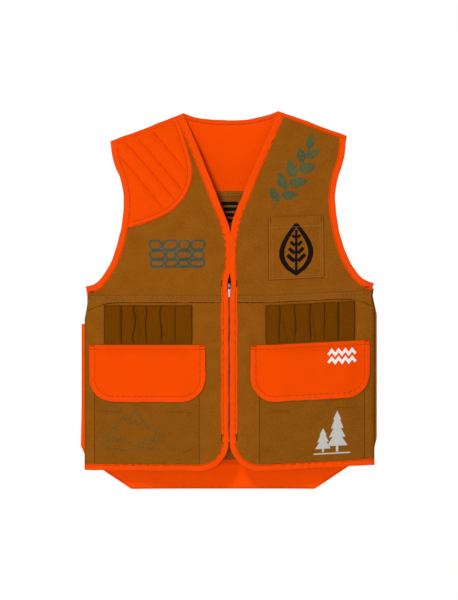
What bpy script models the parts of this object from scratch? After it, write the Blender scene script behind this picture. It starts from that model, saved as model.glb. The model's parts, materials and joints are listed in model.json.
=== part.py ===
"""An upland field vest: canvas fronts and back, a blaze yoke, bound edges, a separating zip, shell loops,
flapped pockets, a quilted recoil pad and a game bag.

The vest hangs from its shoulders. The origin is midway between the two neck points of the shoulder seams.
+X is the wearer's left, +Y the back and +Z up. Every panel is drawn flat in X and Z, with a height t above
the body's surface, and then laid on that surface. Lengths are millimetres until place() makes them metres.
"""

import math

import bmesh
import bpy
from mathutils import Vector

MM = 0.001

# The body's outline
HALF_WIDTH = 277.0
NECK_X = 88.0
TIP_X, TIP_Z = 224.0, -54.0
YOKE_Z = -149.0
CHEST_SEAM_Z = -359.0
FRONT_HEM_Z = -682.0
BACK_HEM_Z = -675.0
LEFT_RISE, RISE_FROM = 0.05, 75.0  # the wearer's left side climbs by this slope beyond this X
UNDERARM = (273.0, -335.0)
NECK_CURVE = [(NECK_X, 0), (51, -89), (28, -148), (13.5, -184), (6, -207), (2, -230), (0.8, -243)]
ARMHOLE_CURVE = [(TIP_X, TIP_Z), (219, -93), (208, -127), (202, -160), (202.5, -190), (209, -230),
                 (222, -275), (240, -308), (256, -326), UNDERARM]
SIDE_LINE = [(270.5, CHEST_SEAM_Z), (HALF_WIDTH, -395), (HALF_WIDTH, -650)]
BACK_NECK_CURVE = [(NECK_X, 0), (70, -6), (48, -10.5), (24, -12.6), (0, -13)]
FRONT_CORNER = (58.0, -628.0)  # centre of the rounded corner at the front hem

# How far the body stands out, against the distance below the shoulder line and across from the middle
SIDE_X = 262.0
EDGE_DEPTH = [(0, 0.8), (20, 3), (60, 6), (120, 9)]
FACES = {
    "front": {"depth": [(0, 0.8), (20, 6), (60, 15), (120, 25), (190, 32)], "crown": 36.0, "sign": -1},
    "back": {"depth": [(0, 0.8), (20, 5), (60, 12), (120, 20), (190, 28)], "crown": 110.0, "sign": 1},
}
SIDE_ROUND = [(SIDE_X, 1), (270, 0.72), (HALF_WIDTH, 0.12)]

# Layers
CLOTH = 1.5
GAP = 0.3
LAID = 2.1  # height of the first layer laid on a panel
BINDING = 12.0
BACK_NECK_BINDING = 8.5
BACK_HEM_BINDING = 14.0
BIND_LOW, BIND_HIGH = -0.5, 2.1

# Zip, along the middle of the front
SLIT = 1.6  # half the slit between the bound edges
SLIDER_TOP, SLIDER_BOTTOM = -325.0, -336.0
ZIP_BOTTOM = -618.0
ROW_INNER, ROW_OUTER = 0.8, 3.2
CHAIN_T, CHAIN_HALF = -3.2, 1.2
FACING_WIDTH = 3.0

# Shell loops
LOOPS = 6
LOOPS_X = (69.5, 239.0)
LOOPS_Z = (-366.0, -436.0)
LOOP_HEIGHT = 7.5
ELASTIC = 1.2

# Lower pockets and their flaps
POCKET_X = (58.0, 257.0)
POCKET_Z = (-466.0, -669.0)
POCKET_DEPTH = 12.0
FLAP_X = (42.0, 268.0)
FLAP_Z = (-443.0, -551.0)
FLAP_CORNER = 46.0
FLAP_CLOTH = 1.4
FLAP_RISE = [(-465, 15.7), (-446, LAID)]  # the flap climbs over the pocket's top edge

# Chest pocket, on the wearer's left
CHEST_POCKET_X = (74.0, 179.0)
CHEST_POCKET_Z = (-204.0, -320.0)
CHEST_POCKET_DEPTH = 9.0
POCKET_WALL = 1.2

# Recoil pad, on the wearer's right shoulder
PAD_CURVE = [(100.5, -6), (93.5, -23), (81.5, -60), (73.5, -89), (70.5, -113), (74, -136), (83, -158),
             (99.6, -178), (121.5, -194.5), (154, -209), (192, -219.5)]
PAD_STRIP = 11.0
PAD_FOAM = 3.0
PAD_COVER = 1.0

# Game bag, outside the back
BAG_SHIFT = -10.0
BAG_OUTLINE = [(271, -403), (271, -560), (272.5, -633), (261, -656), (176, -713.5)]
BAG_CLOTH = 1.2
BAG_DEPTH = 18.0
BAG_BINDING = 12.0

LATTICE_X = (36.0, RISE_FROM, NECK_X, 110.0, 156.0, TIP_X, SIDE_X, 270.0)
LATTICE_DROP = (20.0, 60.0, 120.0, 190.0)

COLOURS = {
    "duck": (0.275, 0.089, 0.007, 0.95, 0.0),
    "blaze": (0.913, 0.074, 0.001, 0.9, 0.0),
    "elastic": (0.150, 0.043, 0.002, 0.85, 0.0),
    "foam": (0.80, 0.76, 0.66, 0.95, 0.0),
    "zip_tape": (0.913, 0.074, 0.001, 0.8, 0.0),
    "zip_teeth": (0.070, 0.045, 0.055, 0.4, 1.0),
    "zip_metal": (0.55, 0.55, 0.56, 0.35, 1.0),
}


def between(value, steps):
    """The height at value of the straight lines through steps, a list of (place, height)."""
    if value <= steps[0][0]:
        return steps[0][1]
    for (a, low), (b, high) in zip(steps, steps[1:]):
        if value <= b:
            return low + (high - low) * (value - a) / (b - a)
    return steps[-1][1]


def shoulder_z(x):
    return between(abs(x), [(NECK_X, 0), (TIP_X, TIP_Z)])


def skin(x, z, face, bag=False):
    """How far the body's surface stands out from the side seams' plane at a point."""
    across, below = abs(x), shoulder_z(x) - z
    edge = between(below, EDGE_DEPTH)
    crown = between(across, [(FACES[face]["crown"], 1), (SIDE_X, 0)])
    depth = edge + (between(below, FACES[face]["depth"]) - edge) * crown
    return depth if bag else depth * between(across, SIDE_ROUND)


def place(x, t, z, face, bag=False):
    """The point at height t above the body's surface, in metres. The bag hangs level."""
    rise = 0 if bag else LEFT_RISE * max(x - RISE_FROM, 0)
    y = FACES[face]["sign"] * (skin(x, z, face, bag) + t)
    return Vector((x, y, z + rise)) * MM


def smooth(points, pieces=4):
    """Points on a Catmull-Rom curve through points."""
    ends = [2 * Vector(points[0]) - Vector(points[1])] + [Vector(p) for p in points]
    ends.append(2 * ends[-1] - ends[-2])
    made = []
    for a, b, c, d in zip(ends, ends[1:], ends[2:], ends[3:]):
        for k in range(pieces):
            u = k / pieces
            made.append(0.5 * (2 * b + (c - a) * u + (2 * a - 5 * b + 4 * c - d) * u**2
                               + (3 * b - a - 3 * c + d) * u**3))
    return made + [Vector(points[-1])]


def offset(path, distance):
    """The path moved to the left of its direction of travel, with mitred corners."""
    path = [Vector(p) for p in path]
    moved = []
    for k, point in enumerate(path):
        before = (point - path[k - 1]).normalized() if k else None
        after = (path[k + 1] - point).normalized() if k + 1 < len(path) else None
        before, after = before or after, after or before
        along = (before + after).normalized()
        normal = Vector((-along.y, along.x))
        moved.append(point + normal * distance / max(0.5, along.dot(after)))
    return moved


def mirrored(outline, side):
    return [(side * x, z) for x, z in outline]


def face_outwards(shape):
    bmesh.ops.recalc_face_normals(shape, faces=shape.faces[:])
    if shape.calc_volume(signed=True) < 0:
        bmesh.ops.reverse_faces(shape, faces=shape.faces[:])
    return shape


def prism(outline, low, high):
    """A flat plate with this outline in X and Z, from height low to height high."""
    plate = bmesh.new()
    face = plate.faces.new([plate.verts.new((x, low, z)) for x, z in outline])
    made = bmesh.ops.extrude_face_region(plate, geom=[face])["geom"]
    for vert in made:
        if isinstance(vert, bmesh.types.BMVert):
            vert.co.y = high
    return face_outwards(plate)


def bar(profile, top, bottom):
    """A bar with this profile in X and height t, from top to bottom in Z."""
    made = bmesh.new()
    face = made.faces.new([made.verts.new((x, t, top)) for x, t in profile])
    moved = bmesh.ops.extrude_face_region(made, geom=[face])["geom"]
    for vert in moved:
        if isinstance(vert, bmesh.types.BMVert):
            vert.co.z = bottom
    return face_outwards(made)


def block(x, t, z):
    """A box between the two values of each of x, t and z."""
    return bar([(x[0], t[0]), (x[1], t[0]), (x[1], t[1]), (x[0], t[1])], z[0], z[1])


def combined(first, others, operation):
    """One closed body from first and others, by Boolean."""
    def temporary(shape):
        mesh = bpy.data.meshes.new("temporary")
        shape.to_mesh(mesh)
        obj = bpy.data.objects.new("temporary", mesh)
        bpy.context.scene.collection.objects.link(obj)
        return obj

    base = temporary(first)
    helpers = [temporary(shape) for shape in others]
    for helper in helpers:
        modifier = base.modifiers.new("join", "BOOLEAN")
        modifier.operation = operation
        modifier.object = helper
    bpy.context.view_layer.update()
    evaluated = base.evaluated_get(bpy.context.evaluated_depsgraph_get())
    made = bmesh.new()
    made.from_mesh(evaluated.to_mesh())
    evaluated.to_mesh_clear()
    for obj in [base, *helpers]:
        bpy.data.objects.remove(obj)
    return made


def cut(shape, faces, point, normal):
    edges = {edge for face in faces for edge in face.edges}
    verts = {vert for face in faces for vert in face.verts}
    bmesh.ops.bisect_plane(shape, geom=[*faces, *edges, *verts], dist=1e-3, plane_co=point, plane_no=normal)


def cut_on_lattice(shape, face, upper, also):
    """Cuts a flat shape where the body's surface bends, so that stacked layers bend together.
    Upper pieces are also cut along the lines parallel to the shoulder."""
    flat = (NECK_X, 156.0, TIP_X)
    lines = [x for x in LATTICE_X if upper or x not in flat]
    lines = [x for x in lines if x != (FACES["back"] if face == "front" else FACES["front"])["crown"]]
    for x in [0.0, *lines, *[-x for x in lines]]:
        cut(shape, shape.faces[:], (x, 0, 0), (1, 0, 0))
    for z in also:
        cut(shape, shape.faces[:], (0, 0, z), (0, 0, 1))
    if not upper:
        return
    slope = TIP_Z / (TIP_X - NECK_X)
    for below in LATTICE_DROP:
        for side in (-1, 1):
            for low, high, z, tilt in ((0, NECK_X, 0, 0), (NECK_X, TIP_X, 0, slope), (TIP_X, 400, TIP_Z, 0)):
                faces = [f for f in shape.faces if low < side * f.calc_center_median().x < high]
                cut(shape, faces, (side * low, 0, z - below), (-side * tilt, 0, 1))


def empty(name, location, parent=None):
    obj = bpy.data.objects.new(name, None)
    bpy.context.scene.collection.objects.link(obj)
    obj.parent = parent
    obj.location = location - (Vector(parent["world"]) if parent else Vector())
    obj["world"] = location
    return obj


def node(name, shape, body, slot, face="front", upper=False, lift=None, also=(), bag=False):
    """Lays a flat shape on the body's surface and makes it the object called name."""
    cut_on_lattice(shape, face, upper, also)
    bmesh.ops.triangulate(shape, faces=shape.faces[:])
    origin = Vector(body["world"])
    for vert in shape.verts:
        x, t, z = vert.co
        vert.co = place(x, t + (lift(z) if lift else 0), z, face, bag) - origin
    face_outwards(shape)
    mesh = bpy.data.meshes.new(name)
    shape.to_mesh(mesh)
    shape.free()
    mesh.materials.append(bpy.data.materials[slot])
    obj = bpy.data.objects.new(name, mesh)
    bpy.context.scene.collection.objects.link(obj)
    obj.parent = body


def make_materials():
    for name, (red, green, blue, roughness, metallic) in COLOURS.items():
        material = bpy.data.materials.new(name)
        material.use_nodes = True
        shader = material.node_tree.nodes["Principled BSDF"]
        shader.inputs["Base Color"].default_value = (red, green, blue, 1)
        shader.inputs["Roughness"].default_value = roughness
        shader.inputs["Metallic"].default_value = metallic


def front_edge():
    """The bound edge of a front: down the neck, along the zip, round the corner and along the hem."""
    path = smooth(NECK_CURVE)
    path += smooth([(0.8, -300), (2.2, -313), (3.8, -326), (3.4, -339), (SLIT, -358)], 2)
    centre_x, centre_z = FRONT_CORNER
    for k in range(9):
        turn = math.radians(90 * k / 8)
        path.append(Vector((centre_x - (centre_x - SLIT) * math.cos(turn),
                            centre_z + (FRONT_HEM_Z - centre_z) * math.sin(turn))))
    return path + [Vector((HALF_WIDTH - 0.5, FRONT_HEM_Z))]


def armhole():
    """The armhole's edge, from the underarm up to the shoulder tip."""
    return smooth(ARMHOLE_CURVE, 3)[::-1]


def on_shoulder(x, drop=GAP):
    return Vector((x, shoulder_z(x) - drop))


def band(path, width, end=None):
    """The outline of a strip of cloth of this width inside path. Its last corner can be given."""
    inner = offset(path, width)
    if end:
        inner[-1] = end
    return [*path, *reversed(inner)]


def armhole_band():
    path = armhole()
    path[-1] = on_shoulder(TIP_X)
    return band(path, BINDING, on_shoulder(TIP_X - BINDING * 0.96))


def inside_armhole(margin=GAP):
    """The line just inside the armhole's binding, from the underarm up to the shoulder."""
    line = offset(armhole(), BINDING + margin)
    line[-1] = on_shoulder(TIP_X - (BINDING + margin) * 0.96)
    return line


def side_of(x_low, z_low, x_high, z_high):
    return [Vector((x_low, z_low)), Vector((x_high, z_high))]


def make_back(body):
    neck = smooth(BACK_NECK_CURVE, 2)
    neck[0] = on_shoulder(NECK_X)
    across = [Vector((-p.x, p.y)) for p in neck] + list(reversed(neck[:-1]))
    inner = [p - Vector((0, BACK_NECK_BINDING)) for p in across]
    inner[0], inner[-1] = on_shoulder(-NECK_X - BACK_NECK_BINDING), on_shoulder(NECK_X + BACK_NECK_BINDING)
    node("back_neck_binding", prism(across + inner[::-1], BIND_LOW, BIND_HIGH), body, "blaze", "back", True)

    arm = inside_armhole()
    yoke_arm = [p for p in arm if p.y > YOKE_Z]
    yoke_arm.insert(0, crossing(arm, YOKE_Z + GAP))
    under = [p - Vector((0, GAP)) for p in inner]
    under[0], under[-1] = (on_shoulder(side * (NECK_X + BACK_NECK_BINDING + GAP)) for side in (-1, 1))
    left = yoke_arm
    right = [Vector((-p.x, p.y)) for p in reversed(yoke_arm)]
    node("back_yoke", prism([*under, *reversed(left), *reversed(right)], 0, CLOTH), body, "blaze", "back", True)

    body_arm = [p for p in arm if p.y < YOKE_Z] + [crossing(arm, YOKE_Z - GAP)]
    hem = BACK_HEM_Z + BACK_HEM_BINDING + GAP
    half = [Vector((HALF_WIDTH - 0.5, hem)), *[Vector(p) for p in reversed(SIDE_LINE)]]
    half = [p for p in half if p.y >= hem] + body_arm
    outline = half + [Vector((-p.x, p.y)) for p in reversed(half)]
    node("back_body", prism(outline, 0, CLOTH), body, "duck", "back", True)
    edge = HALF_WIDTH - 0.5
    hem_box = [(-edge, BACK_HEM_Z), (edge, BACK_HEM_Z), (edge, hem - GAP), (-edge, hem - GAP)]
    node("back_hem_binding", prism(hem_box, BIND_LOW, BIND_HIGH), body, "blaze", "back")
    for side, word in ((-1, "right"), (1, "left")):
        shape = prism(mirrored(armhole_band(), side), BIND_LOW, BIND_HIGH)
        node(f"{word}_armhole_binding_back", shape, body, "blaze", "back", True)


def crossing(path, z):
    """The point where path passes the height z."""
    for a, b in zip(path, path[1:]):
        if min(a.y, b.y) <= z <= max(a.y, b.y):
            return a + (b - a) * ((z - a.y) / (b.y - a.y))
    raise ValueError(f"the path doesn't pass {z}")


def make_chest(side, word, body):
    edge = offset(front_edge(), BINDING + GAP)
    edge[0] = on_shoulder(NECK_X + (BINDING + GAP) * 0.93)
    seam = CHEST_SEAM_Z + GAP
    inner = [p for p in edge if p.y > seam] + [crossing(edge, seam)]
    outline = [*inner, Vector((270.5, seam)), *inside_armhole()]
    node(f"{word}_chest_panel", prism(mirrored(outline, side), 0, CLOTH), body, "duck", upper=True)
    shape = prism(mirrored(armhole_band(), side), BIND_LOW, BIND_HIGH)
    node(f"{word}_armhole_binding_front", shape, body, "blaze", upper=True)
    path = front_edge()
    path[0] = on_shoulder(NECK_X)
    strip = band(path, BINDING)
    strip[-1] = on_shoulder(NECK_X + BINDING * 0.93)
    node(f"{word}_front_binding", prism(mirrored(strip, side), BIND_LOW, BIND_HIGH), body, "blaze", upper=True)


def make_lower_front(side, word, body):
    edge = offset(front_edge(), BINDING + GAP)
    inner = [crossing(edge, CHEST_SEAM_Z - GAP)] + [p for p in edge if p.y < CHEST_SEAM_Z - GAP]
    lines = [Vector(p) for p in SIDE_LINE]
    lines[0].y -= GAP
    outline = inner + lines[::-1]
    node(f"{word}_lower_front_panel", prism(mirrored(outline, side), 0, CLOTH), body, "duck")


def make_zip_side(side, word, body):
    low, high = CHAIN_T - 0.4, CHAIN_T + 0.4
    bend = [(2.9, low), (7.5, low), (10.5, -1.6), (17, -1.6), (17, -0.8), (10.2, -0.8), (7.2, high), (2.9, high)]
    tape = bar(mirrored(bend, side), SLIDER_BOTTOM - 0.6, ZIP_BOTTOM - 10)
    row_high = (CHAIN_T - CHAIN_HALF, CHAIN_T + CHAIN_HALF)
    row_x = sorted((side * ROW_INNER, side * ROW_OUTER))
    start = SLIDER_BOTTOM - 0.6
    stop = block(row_x, row_high, (start, start - 2.6))
    teeth = block(row_x, row_high, (start - 2.9, ZIP_BOTTOM))
    slot = bar(mirrored([(2.7, low - 0.2), (8, low - 0.2), (8, high + 0.2), (2.7, high + 0.2)], side), 0, -700)
    node(f"{word}_zipper_tape", tape, body, "zip_tape")
    node(f"{word}_zipper_teeth", combined(teeth, [slot], "DIFFERENCE"), body, "zip_teeth")
    node(f"{word}_zipper_top_stop", combined(stop, [slot.copy()], "DIFFERENCE"), body, "zip_metal")
    edge = SLIT + BINDING + 2 * GAP
    facing = block(sorted((side * edge, side * (edge + FACING_WIDTH))), (LAID, LAID + 0.8), (-362, ZIP_BOTTOM + 8))
    node(f"{word}_zipper_facing", facing, body, "zip_tape")
    foot = (ZIP_BOTTOM - GAP, ZIP_BOTTOM - 8)
    inner, outer = ROW_INNER - 0.2, (2.6 if side > 0 else 2.7)
    name, half = ("zipper_insert_pin", 1.0) if side > 0 else ("zipper_retainer_box", 2.2)
    shape = block(sorted((side * inner, side * outer)), (CHAIN_T - half, CHAIN_T + half * 0.7), foot)
    node(name, shape, body, "zip_metal")


def arch(x_low, x_high, height, pieces=8):
    """Points over a shell loop, from one sewn line to the next."""
    middle, half = (x_low + x_high) / 2, (x_high - x_low) / 2
    turns = [math.pi * k / pieces for k in range(pieces + 1)]
    return [(middle - half * math.cos(turn), LAID + height * math.sin(turn)) for turn in turns]


def make_shell_loops(side, word, body):
    pitch = (LOOPS_X[1] - LOOPS_X[0]) / LOOPS
    sewn = 2.2
    over, under = [(LOOPS_X[0], LAID + ELASTIC)], []
    for k in range(LOOPS):
        low, high = LOOPS_X[0] + k * pitch, LOOPS_X[0] + (k + 1) * pitch
        over += [(x, t + ELASTIC) for x, t in arch(low + sewn / 2, high - sewn / 2, LOOP_HEIGHT)]
        under += arch(low + sewn / 2 + ELASTIC, high - sewn / 2 - ELASTIC, LOOP_HEIGHT)
    over.append((LOOPS_X[1], LAID + ELASTIC))
    profile = [*over, (LOOPS_X[1], LAID), *reversed(under), (LOOPS_X[0], LAID)]
    node(f"{word}_shell_loops", bar(mirrored(profile, side), *LOOPS_Z), body, "elastic")


def make_patch_pocket(name, side, body, x, z, depth, wall, upper=False):
    """A patch pocket open at its top, with one wall in front and one at each side and below."""
    outer = block(sorted((side * x[0], side * x[1])), (LAID, CLOTH + depth + wall), z)
    inside = sorted((side * (x[0] + wall), side * (x[1] - wall)))
    hollow = block(inside, (LAID - 1, CLOTH + depth), (z[0] + 5, z[1] + wall))
    node(name, combined(outer, [hollow], "DIFFERENCE"), body, "duck", upper=upper)


def flap_edge(inset=0.0):
    """The outline of a pocket flap from its top inner corner round to its top outer corner."""
    low_x, high_x = FLAP_X[0] + inset, FLAP_X[1] - inset
    bottom, radius = FLAP_Z[1] + inset, FLAP_CORNER - inset
    line = [Vector((low_x, FLAP_Z[0]))]
    for centre_x, start in ((low_x + radius, 180), (high_x - radius, 270)):
        for k in range(9):
            turn = math.radians(start + 90 * k / 8)
            line.append(Vector((centre_x + radius * math.cos(turn), bottom + radius + radius * math.sin(turn))))
    return line + [Vector((high_x, FLAP_Z[0]))]


def make_flap(side, word, body):
    creases = [z for z, _ in FLAP_RISE]

    def climb(z):
        return between(z, FLAP_RISE)

    middle = prism(mirrored(flap_edge(BINDING + GAP), side), 0, FLAP_CLOTH)
    node(f"{word}_pocket_flap", middle, body, "blaze", lift=climb, also=creases)
    rim = prism(mirrored([*flap_edge(), *reversed(flap_edge(BINDING))], side), -0.2, FLAP_CLOTH + 0.4)
    node(f"{word}_flap_binding", rim, body, "blaze", lift=climb, also=creases)


def make_recoil_pad(side, body):
    curve = smooth(PAD_CURVE, 2)
    strip = band(curve, PAD_STRIP)
    strip[-1] = on_shoulder(PAD_CURVE[0][0] + PAD_STRIP, 1.2)
    height = LAID + PAD_FOAM + 0.6 + PAD_COVER
    node("recoil_pad_binding", prism(mirrored(strip, side), LAID, height), body, "blaze", upper=True)
    inner = offset(curve, PAD_STRIP + GAP)
    inner[0] = on_shoulder(PAD_CURVE[0][0] + PAD_STRIP + GAP, 1.2)
    arm = [p for p in inside_armhole(2 * GAP) if p.y > inner[-1].y + 3]
    arm[-1] = on_shoulder(arm[-1].x, 1.2)
    outline = mirrored([*inner, *arm], side)
    node("recoil_pad_foam", prism(outline, LAID, LAID + PAD_FOAM), body, "foam", upper=True)
    low = LAID + PAD_FOAM + 0.6
    node("recoil_pad_cover", prism(outline, low, low + PAD_COVER), body, "blaze", upper=True)


def bag_edge(inset=0.0):
    """The bag's outline without its open top, from the wearer's right top corner round to the left."""
    half = [Vector(p) for p in BAG_OUTLINE]
    whole = [Vector((-p.x, p.y)) for p in half] + half[::-1]
    moved = offset(whole, inset) if inset else whole
    moved[0].y = moved[-1].y = BAG_OUTLINE[0][1]
    return [Vector((p.x + BAG_SHIFT, p.y)) for p in moved]


def make_game_bag(body, outer_body):
    inner_top = LAID + BAG_CLOTH
    gusset = (inner_top + 0.6, inner_top + BAG_DEPTH - 0.6)
    outer = inner_top + BAG_DEPTH
    node("game_bag_inner_wall", prism(bag_edge(), LAID, inner_top), body, "blaze", "back", bag=True)
    ring = [*bag_edge(), *reversed(bag_edge(BAG_CLOTH))]
    node("game_bag_gusset", prism(ring, *gusset), body, "blaze", "back", bag=True)
    edge = bag_edge()
    top = BAG_OUTLINE[0][1]
    edge[0].y = edge[-1].y = top - BAG_BINDING - GAP
    node("game_bag_outer_wall", prism(edge, outer, outer + BAG_CLOTH), outer_body, "blaze", "back", bag=True)
    low_x, high_x = edge[0].x, edge[-1].x
    hem = [(low_x, top - BAG_BINDING), (high_x, top - BAG_BINDING), (high_x, top), (low_x, top)]
    shape = prism(hem, outer - 0.4, outer + BAG_CLOTH + 0.5)
    node("game_bag_top_binding", shape, outer_body, "blaze", "back", bag=True)


def make_slider(body, pull_body):
    """A slider with a front and a back plate, a dividing post and a bridge that carries the pull tab."""
    span = (SLIDER_TOP, SLIDER_BOTTOM)
    front = block((-4.6, 4.6), (-1.7, -0.8), span)
    others = [
        block((-4.6, 4.6), (-5.6, -4.7), span),
        block((-0.5, 0.5), (-5.0, -1.4), (SLIDER_TOP, SLIDER_TOP - 5)),
        block((-1.0, 1.0), (-1.2, 5.2), (SLIDER_TOP - 1, SLIDER_TOP - 2.4)),
        block((-1.0, 1.0), (-1.2, 5.2), (SLIDER_TOP - 7.3, SLIDER_TOP - 8.7)),
        block((-1.0, 1.0), (4.4, 5.4), (SLIDER_TOP - 0.8, SLIDER_TOP - 8.9)),
    ]
    node("zipper_slider", combined(front, others, "UNION"), body, "zip_metal")
    axis_z = PULL_AXIS[1]
    tab = [(-2.9, axis_z + 0.6), (2.9, axis_z + 0.6), (2.9, axis_z - 8), (2.3, axis_z - 22),
           (1.2, axis_z - 24), (-1.2, axis_z - 24), (-2.3, axis_z - 22), (-2.9, axis_z - 8)]
    window = block((-1.7, 1.7), (0, 10), (axis_z - 0.6, axis_z - 5.6))
    plate = prism(tab, PULL_AXIS[0] - 0.6, PULL_AXIS[0] + 0.6)
    node("zipper_pull_tab", combined(plate, [window], "DIFFERENCE"), pull_body, "zip_metal")


PULL_AXIS = (3.2, SLIDER_TOP - 5.0)  # height and Z of the pull tab's hinge
BAG_HINGE = (LAID + BAG_CLOTH + BAG_DEPTH, BAG_OUTLINE[-1][1])


def main():
    for obj in list(bpy.data.objects):
        bpy.data.objects.remove(obj)
    make_materials()
    back = empty("vest_back", Vector())
    make_back(back)
    fronts = {}
    for side, word in ((-1, "right"), (1, "left")):
        fronts[word] = empty(f"{word}_front", Vector((side * HALF_WIDTH, 0, -500)) * MM, back)
        make_chest(side, word, fronts[word])
        make_lower_front(side, word, fronts[word])
        make_zip_side(side, word, fronts[word])
        make_shell_loops(side, word, fronts[word])
        make_patch_pocket(f"{word}_pocket", side, fronts[word], POCKET_X, POCKET_Z, POCKET_DEPTH, CLOTH)
        hinge = place(side * FLAP_X[0], LAID + FLAP_CLOTH / 2, FLAP_Z[0], "front")
        make_flap(side, word, empty(f"{word}_flap", hinge, fronts[word]))
    make_patch_pocket("chest_pocket", 1, fronts["left"], CHEST_POCKET_X, CHEST_POCKET_Z, CHEST_POCKET_DEPTH,
                      POCKET_WALL, upper=True)
    make_recoil_pad(-1, fronts["right"])
    make_game_bag(back, empty("bag_outer", place(BAG_SHIFT, BAG_HINGE[0], BAG_HINGE[1], "back", True), back))
    slider = empty("slider", place(0, CHAIN_T, SLIDER_BOTTOM, "front"), fronts["right"])
    pull = empty("pull", place(0, *PULL_AXIS, "front"), slider)
    make_slider(slider, pull)


main()
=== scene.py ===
"""Looks of the upland field vest: sewn cloth, bound edges, zip, quilted pad, pockets and bag.

Cloth is drawn flat in X and Z on the wearer's left half, with a height t above the body's surface, and laid
on that surface by lay(). side is 1 on the wearer's left and -1 on the right. Lengths are millimetres until
lay() makes them metres.
"""

import json
import math

import bpy
import numpy as np
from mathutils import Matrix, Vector
from mathutils.geometry import delaunay_2d_cdt


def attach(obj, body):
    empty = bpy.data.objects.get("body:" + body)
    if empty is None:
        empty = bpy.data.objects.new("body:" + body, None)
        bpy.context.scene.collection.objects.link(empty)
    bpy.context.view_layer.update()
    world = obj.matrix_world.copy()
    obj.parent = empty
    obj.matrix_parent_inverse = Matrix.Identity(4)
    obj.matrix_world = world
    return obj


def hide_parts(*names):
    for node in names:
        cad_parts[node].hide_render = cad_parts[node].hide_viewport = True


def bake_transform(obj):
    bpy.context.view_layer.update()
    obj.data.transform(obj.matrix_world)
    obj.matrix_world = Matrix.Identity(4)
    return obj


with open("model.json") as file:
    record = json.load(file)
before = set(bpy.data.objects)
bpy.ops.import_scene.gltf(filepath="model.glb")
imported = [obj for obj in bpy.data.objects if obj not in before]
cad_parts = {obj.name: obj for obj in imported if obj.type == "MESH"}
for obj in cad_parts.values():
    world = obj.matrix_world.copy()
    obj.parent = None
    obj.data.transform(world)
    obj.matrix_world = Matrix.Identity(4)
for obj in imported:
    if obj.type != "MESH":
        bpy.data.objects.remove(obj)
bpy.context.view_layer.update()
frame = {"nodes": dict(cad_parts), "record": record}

MM = 0.001

# The body's outline, as in the CAD
HALF_WIDTH = 277.0
NECK_X = 88.0
TIP_X, TIP_Z = 224.0, -54.0
YOKE_Z = -149.0
CHEST_SEAM_Z = -359.0
FRONT_HEM_Z = -682.0
BACK_HEM_Z = -675.0
LEFT_RISE, RISE_FROM = 0.05, 75.0
UNDERARM = (273.0, -335.0)
NECK_CURVE = [(NECK_X, 0), (51, -89), (28, -148), (13.5, -184), (6, -207), (2, -230), (0.8, -243)]
ZIP_TOP_CURVE = [(0.8, -298), (2.0, -310), (3.0, -322), (2.8, -334), (1.2, -352)]
ARMHOLE_CURVE = [(TIP_X, TIP_Z), (219, -93), (208, -127), (202, -160), (202.5, -190), (209, -230),
                 (222, -275), (240, -308), (256, -326), UNDERARM]
SIDE_LINE = [(270.5, CHEST_SEAM_Z), (HALF_WIDTH, -395), (HALF_WIDTH, -650)]
BACK_NECK_CURVE = [(NECK_X, 0), (70, -6), (48, -10.5), (24, -12.6), (0, -13)]
FRONT_CORNER = (58.0, -628.0)
SIDE_X = 262.0
EDGE_DEPTH = [(0, 0.0), (20, 2.6), (60, 6), (120, 9)]
FACES = {
    "front": {"depth": [(0, 0.0), (20, 6), (60, 15), (120, 25), (190, 32)], "crown": 36.0, "sign": -1},
    "back": {"depth": [(0, 0.0), (20, 5), (60, 12), (120, 20), (190, 28)], "crown": 110.0, "sign": 1},
}
SIDE_ROUND = [(SIDE_X, 1), (270, 0.72), (274.5, 0.4), (HALF_WIDTH, 0)]

# Layers
CLOTH = 1.2
BINDING = 12.0
NECK_BINDING = 15.0
# a binding's lowest and highest side, and its stitches
BINDING_FROM, BINDING_TO, ON_BINDING = -0.5, 2.1, 1.85
ROW_IN = 1.9  # from a binding's inner edge to its stitches
TUCK = 2  # how far a cloth's edge runs under its binding
SLIT = 1.2
ZIP_BOTTOM = -618.0
CHAIN_T = -3.2
FACING = 2.2
LOOPS = 6
LOOPS_Z = (-367.0, -441.0)
DIVIDERS = {-1: [70.5, 103.5, 130.5, 158.5, 181.5, 206.5, 239.5],
            1: [68.5, 95.5, 125, 154, 181, 207.5, 239.5]}
POCKET_X, POCKET_Z = (58.0, 257.0), (-466.0, -669.0)
FLAP_INNER = {-1: 45.5, 1: 40.5}
FLAP_OUTER, FLAP_Z, FLAP_CORNER = 268.0, (-443.0, -551.0), 46.0
CHEST_POCKET_X, CHEST_POCKET_Z, CHEST_HEM = (74.0, 179.0), (-201.0, -319.0), 21
PAD_CURVE = [(100.5, -6), (93.5, -23), (81.5, -60), (73.5, -89), (70.5, -113), (74, -136), (83, -158),
             (99.6, -178), (121.5, -194.5), (154, -209), (192, -219.5)]
PAD_STRIP = 11.0
QUILT_LINES = [((146, -35), (82, -112)), ((176, -46), (88, -150)), ((198, -54), (103, -168)),
               ((206, -84), (124, -186))]
BAG_SHIFT = -12.4
BAG_OUTLINE = [(271, -403), (271, -560), (272.5, -636), (261, -662), (176, -719.6)]
BAG_INNER, BAG_DEPTH, BAG_CLOTH = 2.1, 19.2, 1.2

# a front's cloth that reaches above the lower of these heights is not put on its body
BLEND = ((0, 0, -0.06), (0, 0, -0.325))


# ---------------------------------------------------------------- surface


def table(value, steps):
    return np.interp(value, [s[0] for s in steps], [s[1] for s in steps])


def smoothstep(value, low, high):
    u = np.clip((np.asarray(value, float) - low) / (high - low), 0, 1)
    return u * u * (3 - 2 * u)


def shoulder_z(x):
    return table(np.abs(x), [(NECK_X, 0), (TIP_X, TIP_Z)])


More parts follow.
